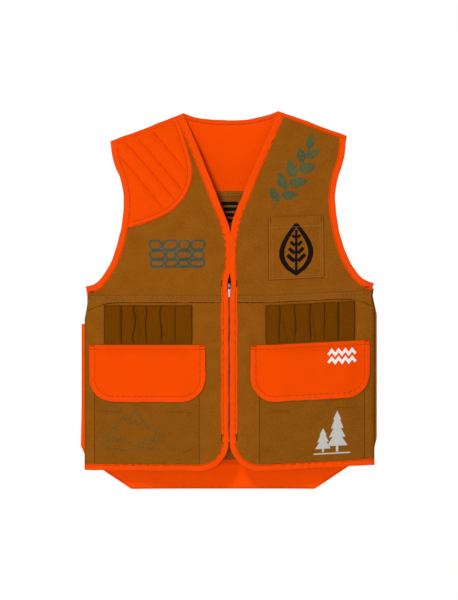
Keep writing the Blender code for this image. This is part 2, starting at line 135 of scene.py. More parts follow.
def raw_skin(x, z, face, bag):
    across, below = np.abs(x), shoulder_z(x) - z
    edge = table(below, EDGE_DEPTH)
    crown = table(across, [(FACES[face]["crown"], 1), (SIDE_X, 0)])
    depth = edge + (table(below, FACES[face]["depth"]) - edge) * crown
    return depth if bag else depth * table(across, SIDE_ROUND)


def skin(x, z, face, bag=False):
    """How far the surface stands out: the CAD's, with its creases smoothed."""
    reach = np.minimum(12, np.maximum(0, HALF_WIDTH - np.abs(x)))
    fall = np.minimum(12, np.maximum(0, shoulder_z(x) - z))
    total = 0
    for a in (-1, -0.5, 0, 0.5, 1):
        for b in (-1, 0, 1):
            total = total + raw_skin(x + a * reach, z + b * fall, face, bag)
    return total / 15


FOLDS = {
    # start, end, width and height of soft folds
    "front": [
        ((-205, -230), (-120, -300), 16, 1.6), ((-215, -275), (-150, -330), 12, 1.4),
        ((-150, -330), (-60, -318), 14, -1.0), ((205, -225), (150, -190), 14, 1.2),
        ((214, -262), (120, -345), 15, 1.7), ((60, -335), (160, -345), 12, 1.0),
        ((-60, -200), (-40, -330), 14, 1.1), ((48, -215), (56, -340), 14, 1.2),
        ((-268, -385), (-250, -640), 9, 0.9), ((268, -385), (262, -640), 9, 0.9),
        ((-40, -420), (-46, -610), 9, 1.0), ((36, -400), (46, -600), 9, 0.9),
        ((190, -120), (120, -60), 18, 1.5), ((-60, -40), (-90, -100), 12, 0.6),
    ],
    "back": [
        ((-200, -200), (-60, -330), 22, 2.4), ((200, -190), (70, -320), 22, 2.2),
        ((-30, -60), (20, -140), 24, 1.4), ((-120, -180), (-90, -380), 18, 1.8),
        ((110, -200), (130, -390), 18, 1.6), ((10, -170), (-10, -390), 20, 1.5),
        ((-150, -60), (-40, -110), 16, 1.0), ((150, -55), (60, -120), 16, 1.0),
    ],
    "bag": [
        ((-230, -430), (-120, -640), 26, 2.6), ((215, -430), (120, -660), 26, 2.4),
        ((-60, -440), (-30, -690), 22, 1.8), ((60, -450), (20, -690), 22, -1.8),
        ((-240, -560), (120, -600), 30, 1.6), ((-200, -650), (60, -560), 22, 1.4),
    ],
}


def along(x, z, a, b):
    """Distance across and share along the line from a to b."""
    dx, dz = b[0] - a[0], b[1] - a[1]
    length = math.hypot(dx, dz)
    share = ((x - a[0]) * dx + (z - a[1]) * dz) / length**2
    across = ((x - a[0]) * dz - (z - a[1]) * dx) / length
    return across, share, length


def drape(x, z, which):
    total = np.zeros_like(np.asarray(x, float))
    for a, b, width, height in FOLDS[which]:
        across, share, length = along(x, z, a, b)
        ends = smoothstep(share, -0.15, 0.3) * smoothstep(-share, -1.15, -0.7)
        total += height * ends * np.exp(-((across / width) ** 2))
    wander = (np.sin(x / 31 + z / 57) * np.sin(z / 43 - x / 71 + 1) + 0.6 * np.sin(x / 17 - z / 23 + 2)
              * np.sin(z / 29 + x / 37))
    total += 0.45 * wander
    keep = smoothstep(np.abs(x), 18, 45) if which == "front" else 1
    near_seam = smoothstep(HALF_WIDTH - np.abs(x), 0, 25) if which != "bag" else 1
    return total * keep * near_seam * smoothstep(shoulder_z(x) - z, 0, 40)


# How far each front's edge is shifted towards the wearer's left, by height. The left laps over the right
# between the neck and the slider.
SHIFT = {
    -1: [(-665, 0), (-645, -0.7), (-316, -0.7), (-296, 4.8), (-238, 4.8), (-190, 0)],
    1: [(-665, 0), (-645, -0.7), (-316, -0.7), (-296, -0.7), (-238, -0.8), (-190, 0)],
}


def edge_shift(x, z, side):
    return sum(table(z + k, SHIFT[side]) for k in (-9, -4, 0, 4, 9)) / 5 * np.exp(-((x / 60) ** 2))


def lap(x, z, side):
    """The right front dips under the left where their edges lap."""
    lapped = smoothstep(-z, 195, 235) * smoothstep(z, -318, -292)
    return lapped * np.exp(-((x / 32) ** 2)) * (0.5 if side > 0 else -2.5)


def spread(x, z, face):
    """How much wider and higher the wearer's left half lies, and how much wider the right shoulder's tip."""
    neck = smoothstep(z, -140, -30) * smoothstep(x, 20, 85)
    tip = smoothstep(-x, 150, TIP_X) * smoothstep(z, -135, TIP_Z)
    wider = 4.5 * neck * smoothstep(-x, -200, -120) - 4.0 * tip
    if face == "back":
        beside_bag = smoothstep(-z, 300, 345) * smoothstep(z, -652, -628)
        wider = wider + 4.5 * smoothstep(x, 256, HALF_WIDTH) * beside_bag
    return wider, 3.5 * neck


def lay(x, t, z, face, side=1, bag=False):
    """Points in metres at height t above the surface."""
    x, t, z = (np.asarray(v, float) for v in (x, t, z))
    shift = 0
    if face == "front":
        shift, t = edge_shift(x, z, side), t + lap(x, z, side)
    x = side * x
    wider, higher = (0, 0) if bag else spread(x, z, face)
    rise = 0 if bag else LEFT_RISE * np.maximum(x - RISE_FROM, 0)
    y = FACES[face]["sign"] * (skin(x, z, face, bag) + drape(x, z, "bag" if bag else face) + t)
    return np.stack([x + shift + wider, y, z + rise + higher], axis=-1) * MM


# ---------------------------------------------------------------- plane curves


def smooth(points, pieces=8):
    """Points on a Catmull-Rom curve through points."""
    ends = [2 * Vector(points[0]) - Vector(points[1])] + [Vector(p) for p in points]
    ends.append(2 * ends[-1] - ends[-2])
    made = []
    for a, b, c, d in zip(ends, ends[1:], ends[2:], ends[3:]):
        for k in range(pieces):
            u = k / pieces
            made.append(0.5 * (2 * b + (c - a) * u + (2 * a - 5 * b + 4 * c - d) * u**2
                               + (3 * b - a - 3 * c + d) * u**3))
    return made + [Vector(points[-1])]


def resample(path, spacing):
    """The path with points spacing apart or less, and its corners kept."""
    made = [Vector(path[0])]
    for a, b in zip(path, path[1:]):
        a, b = Vector(a), Vector(b)
        steps = max(1, math.ceil((b - a).length / spacing))
        made += [a.lerp(b, k / steps) for k in range(1, steps + 1)]
    return made


def evened(path, spacing):
    """The path with points evenly spacing apart."""
    path = [Vector(p) for p in path]
    lengths = np.array([(b - a).length for a, b in zip(path, path[1:])])
    reached = np.concatenate([[0], np.cumsum(lengths)])
    count = max(2, int(round(reached[-1] / spacing)) + 1)
    places = np.linspace(0, reached[-1], count)
    return [Vector(p) for p in zip(*[np.interp(places, reached, line) for line in np.array(path).T])]


def offset(path, distance):
    """The path moved to the left of its direction of travel, with mitred corners."""
    path = [Vector(p) for p in path]
    distances = np.broadcast_to(distance, (len(path),))
    moved = []
    for k, point in enumerate(path):
        before = (point - path[k - 1]).normalized() if k else None
        after = (path[k + 1] - point).normalized() if k + 1 < len(path) else None
        before, after = before or after, after or before
        line = (before + after).normalized()
        normal = Vector((-line.y, line.x))
        moved.append(point + normal * float(distances[k]) / max(0.5, line.dot(after)))
    return moved


def crossing(path, z):
    for a, b in zip(path, path[1:]):
        if min(a.y, b.y) <= z <= max(a.y, b.y):
            return a + (b - a) * ((z - a.y) / (b.y - a.y))
    raise ValueError(f"the path doesn't pass {z}")


def mirror(path):
    return [Vector((-p.x, p.y)) for p in path]


def level(start_x, end_x, z):
    """A line across at height z."""
    return [Vector((start_x, z)), Vector((end_x, z))]


def on_shoulder(x, drop=0.0):
    return Vector((x, float(shoulder_z(x)) - drop))


def front_edge():
    """A front's edge: down the neck, along the zip, round the corner and along the hem."""
    path = smooth(NECK_CURVE)
    path += smooth(ZIP_TOP_CURVE, 4)
    centre_x, centre_z = FRONT_CORNER
    for k in range(17):
        turn = math.radians(90 * k / 16)
        path.append(Vector((centre_x - (centre_x - SLIT) * math.cos(turn),
                            centre_z + (FRONT_HEM_Z - centre_z) * math.sin(turn))))
    return path + [Vector((HALF_WIDTH, FRONT_HEM_Z))]


def neck_width(point):
    """The front binding's width, which is more round the neck."""
    return float(table(point.y, [(-262, BINDING), (-232, NECK_BINDING)]))


def armhole(side=0):
    """The armhole's edge, from the underarm up to the shoulder's tip."""
    end = Vector(UNDERARM) + Vector({-1: (1.5, 4), 0: (0, 0), 1: (2, -1)}[side])
    return smooth([*ARMHOLE_CURVE[:-1], end], 6)[::-1]


def flap_edge(side, inset=0.0):
    low_x, high_x = FLAP_INNER[side] + inset, FLAP_OUTER - inset
    bottom, radius = FLAP_Z[1] + inset, FLAP_CORNER - inset
    line = [Vector((low_x, FLAP_Z[0]))]
    for centre_x, start in ((low_x + radius, 180), (high_x - radius, 270)):
        for k in range(13):
            turn = math.radians(start + 90 * k / 12)
            line.append(Vector((centre_x + radius * math.cos(turn),
                                bottom + radius + radius * math.sin(turn))))
    return line + [Vector((high_x, FLAP_Z[0]))]


def bag_edge(inset=0.0):
    half = [Vector(p) for p in BAG_OUTLINE]
    whole = mirror(half) + half[::-1]
    moved = offset(whole, inset) if inset else whole
    moved[0].y = moved[-1].y = BAG_OUTLINE[0][1]
    return [Vector((p.x + BAG_SHIFT, p.y)) for p in moved]


def nearest(x, z, path):
    """Distance to the path, and how far along it the nearest place is."""
    x, z = np.asarray(x, float).ravel(), np.asarray(z, float).ravel()
    best = np.full(x.shape, 1e9)
    place = np.zeros(x.shape)
    reached = 0.0
    for a, b in zip(path, path[1:]):
        across, share, length = along(x, z, a, b)
        share = np.clip(share, 0, 1)
        distance = np.hypot(x - a[0] - share * (b[0] - a[0]), z - a[1] - share * (b[1] - a[1]))
        closer = distance < best
        best = np.where(closer, distance, best)
        place = np.where(closer, reached + share * length, place)
        reached += length
    return best, place


def inside(x, z, outline):
    within = np.zeros(len(x), bool)
    for a, b in zip(outline, outline[1:] + outline[:1]):
        if a[1] != b[1]:
            crosses = (z < a[1]) != (z < b[1])
            within ^= crosses & (x < a[0] + (b[0] - a[0]) * (z - a[1]) / (b[1] - a[1]))
    return within


PUCKER = 1.5


def puckers(x, z, path, wave=9.0, height=0.35, reach=6.0):
    """Small gathers beside a sewn line."""
    distance, place = nearest(x, z, path)
    turn = 2 * math.pi * place / wave + 1.3 * np.sin(place / 23) + 0.8 * np.sin(place / 61 + 2)
    size = PUCKER * height * (0.65 + 0.35 * np.sin(place / 37 + 1))
    return size * (np.sin(turn) - 0.35) * np.exp(-((distance / reach) ** 2))


# ---------------------------------------------------------------- materials


def shader_of(name):
    made = bpy.data.materials.new(name)
    made.use_nodes = True
    return made, made.node_tree.nodes, made.node_tree.links, made.node_tree.nodes["Principled BSDF"]


def fill(node, **values):
    """Sets a node's inputs. An underscore in a name stands for a space."""
    for name, value in values.items():
        node.inputs[name.replace("_", " ")].default_value = value


def add(nodes, kind, **values):
    made = nodes.new(f"ShaderNode{kind}")
    fill(made, **values)
    return made


def maths(nodes, links, operation, first, second):
    made = add(nodes, "Math")
    made.operation = operation
    for socket, value in zip(made.inputs, (first, second)):
        if hasattr(value, "links"):
            links.new(value, socket)
        else:
            socket.default_value = value
    return made.outputs[0]


def add_tone(nodes, links, shader, value, colour):
    """Gives the shader this colour, lighter and darker with value."""
    tone = add(nodes, "HueSaturation", Color=(*colour, 1))
    links.new(value, tone.inputs["Value"])
    links.new(tone.outputs[0], shader.inputs["Base Color"])
    return tone


def add_bump(nodes, links, shader, height, strength, distance):
    bump = add(nodes, "Bump", Strength=strength, Distance=distance)
    links.new(height, bump.inputs["Height"])
    links.new(bump.outputs[0], shader.inputs["Normal"])


WAVE_SCALE = 0.314  # of a wave texture with one thread to a metre
SLUB_STRETCH = (900, 70, 1)  # thick threads, drawn out along the warp
CROSS_STRETCH = (60, 800, 1)


def cloth_material(name, colour, roughness=0.9, thread=0.0009, depth=0.00025, grain=0.3, blotch=0.12,
                   sheen=0.0, tint=None):
    """Woven cloth: thread is its pitch in metres, depth the bump's, and grain and blotch its unevenness."""
    made, nodes, links, shader = shader_of(name)
    uv = add(nodes, "UVMap")
    uv.uv_map = "weave"
    waves = []
    for direction in ("X", "Y"):
        wave = add(nodes, "TexWave", Scale=WAVE_SCALE / thread, Distortion=1.2, Detail=1.0, Detail_Scale=0.6)
        wave.bands_direction = direction
        links.new(uv.outputs[0], wave.inputs["Vector"])
        waves.append(wave.outputs["Fac"])
    weave = maths(nodes, links, "MULTIPLY", waves[0], waves[1])

    def noise(scale, detail, stretch=None):
        made_noise = add(nodes, "TexNoise", Scale=scale, Detail=detail)
        source = uv.outputs[0]
        if stretch:
            mapping = add(nodes, "Mapping", Scale=stretch)
            links.new(source, mapping.inputs["Vector"])
            source = mapping.outputs[0]
        links.new(source, made_noise.inputs["Vector"])
        return made_noise.outputs["Fac"]

    grains, patches = noise(330, 3), noise(30, 4)
    slubs, cross_slubs = noise(1, 2, SLUB_STRETCH), noise(1, 2, CROSS_STRETCH)
    value = maths(nodes, links, "MULTIPLY", weave, grain * 0.35)
    for share, source in ((grain * 2.0, grains), (blotch * 2.0, patches), (grain, slubs),
                          (grain * 0.7, cross_slubs)):
        value = maths(nodes, links, "ADD", value, maths(nodes, links, "MULTIPLY", source, share))
    # the parts' mean values are taken off again, so that the whole stays at the colour given
    value = maths(nodes, links, "ADD", value, 1 - grain * (0.09 + 1 + 0.5 + 0.35) - blotch)
    tone = add_tone(nodes, links, shader, value, colour)
    if tint:
        mix = add(nodes, "Mix")
        mix.data_type = "RGBA"
        fill(mix, A=(*colour, 1), B=(*tint, 1))
        links.new(patches, mix.inputs["Factor"])
        links.new(mix.outputs["Result"], tone.inputs["Color"])
    height = maths(nodes, links, "ADD", weave, maths(nodes, links, "MULTIPLY", slubs, 0.8))
    height = maths(nodes, links, "ADD", height, maths(nodes, links, "MULTIPLY", grains, 0.8))
    add_bump(nodes, links, shader, height, 0.7, depth)
    fill(shader, Roughness=roughness, Specular_IOR_Level=0.02, Sheen_Weight=sheen, Sheen_Roughness=0.5,
         Sheen_Tint=(*[min(1, 1.3 * c) for c in colour], 1))
    return made


def metal_material(name, colour, roughness):
    """Plated metal with fine scratches and duller patches."""
    made, nodes, links, shader = shader_of(name)
    place = add(nodes, "TexCoord")
    noise = add(nodes, "TexNoise", Scale=900, Detail=4)
    links.new(place.outputs["Object"], noise.inputs["Vector"])
    rough = add(nodes, "MapRange", To_Min=roughness - 0.1, To_Max=roughness + 0.15)
    links.new(noise.outputs["Fac"], rough.inputs["Value"])
    links.new(rough.outputs[0], shader.inputs["Roughness"])
    add_tone(nodes, links, shader, maths(nodes, links, "ADD", noise.outputs["Fac"], 0.5), colour)
    add_bump(nodes, links, shader, noise.outputs["Fac"], 0.2, 0.0001)
    fill(shader, Metallic=1.0)
    return made


def thread_material(name, colour):
    return cloth_material(name, colour, 0.7, 0.0004, 0.0001, 0.1, 0.05)


def ink_material(name, colour, grain=0.5, blotch=0.35):
    return cloth_material(name, colour, 0.85, 0.0009, 0.0002, grain, blotch)


MATERIALS = {
    "duck": cloth_material("duck_canvas", (0.234, 0.070, 0.0038), sheen=0.05, tint=(0.252, 0.080, 0.0056)),
    "pocket": cloth_material("pocket_canvas", (0.212, 0.066, 0.0034), sheen=0.05,
                             tint=(0.222, 0.073, 0.0050)),
    "blaze": cloth_material("blaze_poplin", (0.79, 0.0600, 0.0002), 0.85, 0.0006, 0.00014, 0.06, 0.05, 0.1),
    "binding": cloth_material("blaze_binding", (0.80, 0.0620, 0.0016), 0.8, 0.0006, 0.00014, 0.08, 0.07, 0.1),
    "elastic": cloth_material("elastic", (0.135, 0.039, 0.0004), 0.9, 0.0011, 0.0003, 0.24, 0.1),
    "tape": cloth_material("zip_tape_weave", (0.30, 0.05, 0.01), 0.85, 0.0008, 0.0002, 0.1, 0.05),
    # orange stitching thread, darker than the real thread: the shade of the groove each stitch sinks into is
    # painted into its colour
    "blaze_thread": thread_material("blaze_thread", (0.22, 0.017, 0.0006)),
    "duck_thread": thread_material("duck_thread", (0.42, 0.185, 0.050)),
    "pocket_thread": thread_material("pocket_thread", (0.275, 0.098, 0.012)),
    "tack_thread": thread_material("tack_thread", (0.150, 0.036, 0.002)),
    # near black: divider stitching beside the deep folds in the elastic, with the folds' shade painted into
    # it
    "groove_thread": thread_material("groove_thread", (0.022, 0.0065, 0.0006)),
    # a copy of the blaze cloth painted lighter, to offset the shadow the fronts cast on the bag's inner wall
    "painted_light_lining": cloth_material("blaze_painted_light_lining", (0.93, 0.0725, 0.0004), 0.85, 0.0006, 0.00014, 0.06, 0.05, 0.1),
    # a copy of the blaze cloth painted lighter, to offset the shade inside the neck where the back yoke is
    # seen
    "yoke": cloth_material("blaze_yoke_painted_light", (0.86, 0.0650, 0.0002), 0.85, 0.0006, 0.00014, 0.06, 0.05, 0.1),
    # near black-brown: real dark stitching on the elastic, and also rows of painted shadow along edges and
    # folds and painted shade between stitches
    "dark_thread": thread_material("dark_thread", (0.060, 0.018, 0.0015)),
    "green_ink": ink_material("green_ink", (0.082, 0.090, 0.034)),
    "teal_ink": ink_material("teal_ink", (0.052, 0.074, 0.052)),
    "black_ink": ink_material("black_ink", (0.009, 0.006, 0.005), 0.4, 0.2),
    "grey_ink": ink_material("grey_ink", (0.47, 0.46, 0.42), 0.14, 0.08),
    "white_ink": ink_material("white_ink", (0.80, 0.77, 0.73), 0.08, 0.05),
    "line_ink": ink_material("line_ink", (0.095, 0.082, 0.026), 0.5, 0.3),
    "zip_teeth": metal_material("dark_teeth", (0.13, 0.05, 0.055), 0.45),
    "zip_metal": metal_material("nickel", (0.27, 0.28, 0.27), 0.5),
    "dark_metal": metal_material("dark_nickel", (0.07, 0.06, 0.07), 0.35),
}


# ---------------------------------------------------------------- meshes


def ride(obj, body):
    """Puts a piece on a CAD body. A front's cloth that reaches above the lower height in BLEND stays where it
    is made instead.
    """
    top = max(v.co.z for v in obj.data.vertices)
    if body.endswith("_front") and top > BLEND[1][2]:
        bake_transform(obj)
    else:
        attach(obj, body)


def piece(name, points, faces, weave, look, body, stands_for=(), sharp=50):
    """Makes an object of points in metres, and turns it the right way out."""
    points = np.asarray(points, float)
    corners = np.array([(face[0], b, c) for face in faces for b, c in zip(face[1:], face[2:])])
    a, b, c = (points[corners[:, k]] for k in range(3))
    if np.sum(a * np.cross(b, c)) < 0:
        faces = [tuple(reversed(face)) for face in faces]
    mesh = bpy.data.meshes.new(name)
    mesh.from_pydata(points.tolist(), [], faces)
    layer = mesh.uv_layers.new(name="weave")
    corners = np.zeros(len(mesh.loops), int)
    mesh.loops.foreach_get("vertex_index", corners)
    layer.data.foreach_set("uv", (np.asarray(weave, float)[corners] * MM).astype(np.float32).ravel())
    mesh.shade_smooth()
    mesh.set_sharp_from_angle(angle=math.radians(sharp))
    mesh.materials.append(MATERIALS[look])
    obj = bpy.data.objects.new(name, mesh)
    bpy.context.scene.collection.objects.link(obj)
    if body:
        ride(obj, body)
    if stands_for:
        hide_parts(*stands_for)
    return obj


def grid_faces(rows, columns, rows_closed, columns_closed):
    """Quads between rows of points. Closed ones run on from the last to the first."""
    faces = []
    for k in range(rows if rows_closed else rows - 1):
        this, after = k * columns, (k + 1) % rows * columns
        for m in range(columns if columns_closed else columns - 1):
            n = (m + 1) % columns
            faces.append((this + m, this + n, after + n, after + m))
    return faces


def tube_faces(rows, columns):
    """A tube whose rows of points run lengthwise, with both ends closed."""
    ends = [tuple(k * columns for k in range(rows)), tuple(k * columns - 1 for k in range(rows, 0, -1))]
    return grid_faces(rows, columns, True, False) + ends


def loft_faces(rows, columns):
    """A closed form whose rows of points run round it."""
    ends = [tuple(reversed(range(columns))), tuple(range((rows - 1) * columns, rows * columns))]
    return grid_faces(rows, columns, False, True) + ends


def cloth(name, outline, top, look, body, stands_for=(), face="front", side=1, spacing=5.0, thick=CLOTH,
          bag=False, lines=(), held=None, allowance=8.0):
    """A sheet of cloth with this outline. top(x, z) is the height of its outer side. allowance, what its cut
    edges would turn under all round, is not used."""
    edge = resample([*outline, outline[0]], spacing)[:-1]
    doubled = sum(a.x * b.y - a.y * b.x for a, b in zip(edge, edge[1:] + edge[:1]))
    if doubled < 0:
        edge.reverse()
    low = [min(p[k] for p in edge) for k in (0, 1)]
    high = [max(p[k] for p in edge) for k in (0, 1)]
    xs, zs = np.meshgrid(*[np.arange(a + spacing / 2, b, spacing) for a, b in zip(low, high)])
    xs[1::2] += spacing / 2
    xs, zs = xs.ravel(), zs.ravel()
    for line in lines:
        points = evened(line, spacing * 0.7)
        far = nearest(xs, zs, line)[0] > spacing * 0.4
        xs = np.concatenate([xs[far], [p.x for p in points]])
        zs = np.concatenate([zs[far], [p.y for p in points]])
    keep = inside(xs, zs, edge)
    keep &= nearest(xs, zs, [*edge, edge[0]])[0] > 0.45 * spacing
    points = [*edge, *[Vector((x, z)) for x, z in zip(xs[keep], zs[keep])]]
    count = len(edge)
    ring = [(k, (k + 1) % count) for k in range(count)]
    flat, _, faces, *_ = delaunay_2d_cdt(points, ring, [], 1, 1e-5)
    x, z = np.array(flat).T
    height = top(x, z)
    number = len(flat)
    made = np.concatenate([lay(x, height, z, face, side, bag), lay(x, height - thick, z, face, side, bag)])
    faces = [tuple(f) for f in faces]
    middles = np.array([sum((flat[v] for v in f), Vector((0, 0))) / 3 for f in faces])
    faces = [f for f, within in zip(faces, inside(middles[:, 0], middles[:, 1], edge)) if within]
    directed = {(a, b) for f in faces for a, b in zip(f, f[1:] + f[:1])}
    walls = [(b, a, a + number, b + number) for a, b in directed if (b, a) not in directed]
    under = [tuple(v + number for v in reversed(f)) for f in faces]
    weave = np.tile(np.stack([side * x, z], axis=1), (2, 1))
    obj = piece(name, made, faces + under + walls, weave, look, body, stands_for)
    return obj


BINDING_SECTION = [
    # share of the width in from the folded edge, and height between low (0) and high (1)
    (0.0, 0.5), (0.01, 0.78), (0.05, 0.97), (0.15, 1.05), (0.35, 1.12), (0.55, 1.1), (0.72, 1.0),
    (0.83, 0.84), (0.9, 0.92), (0.97, 0.9), (1.0, 0.72), (1.0, 0.3), (0.8, 0.06), (0.3, 0.0), (0.05, 0.05),
    (0.01, 0.24),
]


def strip(name, path, width, low, high, look, body, stands_for=(), face="front", side=1, bag=False,
          ripple=0.32, wave=8.5, top=None, spacing=2.4, ends=None, sway=0.35):
    """A folded strip of cloth to the left of path, gathered along its stitches. top(x, z) adds to its height.
    ends gives the two inner corners."""
    outer = evened(path, spacing)
    widths = [width(p) if callable(width) else width for p in outer]
    if isinstance(widths[0], Vector):
        inner, width = [p + v for p, v in zip(outer, widths)], np.array([v.length for v in widths])
    else:
        inner, width = offset(outer, widths), np.array(widths)
    if ends:
        for k, corner in ((0, ends[0]), (-1, ends[1])):
            if corner is not None:
                inner[k] = Vector(corner)
    flat_outer, flat_inner = np.array(outer), np.array(inner)
    across = flat_inner - flat_outer
    place = np.arange(len(outer)) * spacing
    start = sum(ord(letter) for letter in name) % 29
    points, weave = [], []
    swaying = sway * (np.sin(place / 13 + start) + 0.6 * np.sin(place / 5.3 + 2 * start))
    for share, high_share in BINDING_SECTION:
        shift = place + 0.45 * width * share
        turn = 2 * math.pi * shift / wave + 1.5 * np.sin(shift / 19 + start) + 0.9 * np.sin(shift / 47)
        size = 1.5 * ripple * (0.6 + 0.4 * np.sin(shift / 31 + start))
        ridge = size * (np.sin(turn) + 0.35 * np.sin(2.3 * turn + start))
        ridge *= (high_share > 0.5) * min(1, 4 * share) * (1.1 - 0.5 * abs(share - 0.8))
        ridge *= 0.8 if share < 0.5 else 1
        xs, zs = (flat_outer + share * across).T
        if share < 0.3:
            push = swaying * (1 - share / 0.3) / width
            xs, zs = xs + push * across[:, 0], zs + push * across[:, 1]
        heights = low + (high - low) * high_share + ridge
        if top:
            heights = heights + top(xs, zs)
        points.append(lay(xs, heights, zs, face, side, bag))
        turned = share * width + (2 * width if high_share < 0.5 else 0)
        weave.append(np.stack([turned + place, turned - place], axis=1) * 0.7)  # cut on the bias
    return piece(name, np.concatenate(points), tube_faces(len(points), len(outer)), np.concatenate(weave),
                 look, body, stands_for, sharp=75)


THREADS = {}
STITCH_SECTION = [(-0.5, -0.45, 0.16), (-0.32, 0.1, 0.38), (0.0, 0.22, 0.46), (0.32, 0.1, 0.38),
                  (0.5, -0.45, 0.16)]
SIDES = 6


def level_of(height):
    return height if callable(height) else (lambda x, z: np.full(np.shape(x), float(height)))


def add_stitches(group, ends, height, face, side, bag, thickness):
    """Stitches from a to b for each pair in ends, with their tips sunk into the cloth."""
    if not ends:
        return
    a, b = (np.array([tuple(pair[k]) for pair in ends]) for k in (0, 1))
    middle, line = (a + b) / 2, b - a
    share, lift, radius = (np.array(column) for column in zip(*STITCH_SECTION))
    flat = middle[:, None, :] + line[:, None, :] * share[None, :, None]
    xs, zs = flat[..., 0].ravel(), flat[..., 1].ravel()
    raised = level_of(height)(xs, zs) + np.tile(lift * thickness, len(ends))
    centre = lay(xs, raised, zs, face, side, bag).reshape(len(ends), len(share), 3)
    run = centre[:, -1] - centre[:, 0]
    run /= np.maximum(1e-9, np.linalg.norm(run, axis=1))[:, None]
    out = np.array([0.0, FACES[face]["sign"], 0.0])
    across = np.cross(run, out)
    across /= np.linalg.norm(across, axis=1)[:, None]
    turn = 2 * np.pi * np.arange(SIDES) / SIDES
    spokes = np.cos(turn)[None, :, None] * across[:, None, :] + np.sin(turn)[None, :, None] * out
    radii = (radius * abs(thickness) * MM)[None, :, None, None]
    points = centre[:, :, None, :] + spokes[:, None, :, :] * radii
    THREADS.setdefault(group, []).append(points.reshape(len(ends), -1, 3))


def sew(path, height, look, body, face="front", side=1, bag=False, pitch=3.4, length=2.6, thickness=1.0):
    """A row of stitches along path."""
    spots = evened(path, pitch)
    ends = []
    for a, b in zip(spots, spots[1:]):
        middle, line = (a + b) / 2, (b - a).normalized() * length / 2
        ends.append((middle - line, middle + line))
    add_stitches((look, body), ends, height, face, side, bag, thickness)


def shade(path, height, body, side, thickness):
    """Painted shadow along a cloth's edge, drawn as a near unbroken row of dark stitches."""
    sew(path, height, "dark_thread", body, side=side, pitch=4.6, length=4.4, thickness=thickness)


def bar_tack(x, z, height, look, body, length=10.0, width=2.6, upright=True, face="front", side=1):
    """Dense stitches across a short bar."""
    ends = []
    for k in range(int(length / 0.8)):
        step = -length / 2 + 0.4 + 0.8 * k
        tilt = 0.35 if k % 2 else -0.35
        a, b = Vector((-width / 2, step - tilt)), Vector((width / 2, step + tilt))
        if not upright:
            a, b = Vector((a.y, a.x)), Vector((b.y, b.x))
        ends.append((Vector((x, z)) + a, Vector((x, z)) + b))
    add_stitches((look, body), ends, height, face, side, False, 1.15)


def make_threads():
    rings = len(STITCH_SECTION)
    one = loft_faces(rings, SIDES)
    for (look, body), groups in THREADS.items():
        stitches = np.concatenate(groups)
        size = stitches.shape[1]
        firsts = range(0, len(stitches) * size, size)
        faces = [tuple(first + v for v in face) for first in firsts for face in one]
        weave = np.tile(np.stack([np.repeat(np.arange(rings), SIDES) * 0.6,
                                  np.tile(np.arange(SIDES), rings) * 0.4], axis=1), (len(stitches), 1))
        piece(f"{body}_stitches_{look.split('_')[0]}", stitches.reshape(-1, 3), faces, weave, look, body,
              sharp=80)


# ---------------------------------------------------------------- the back


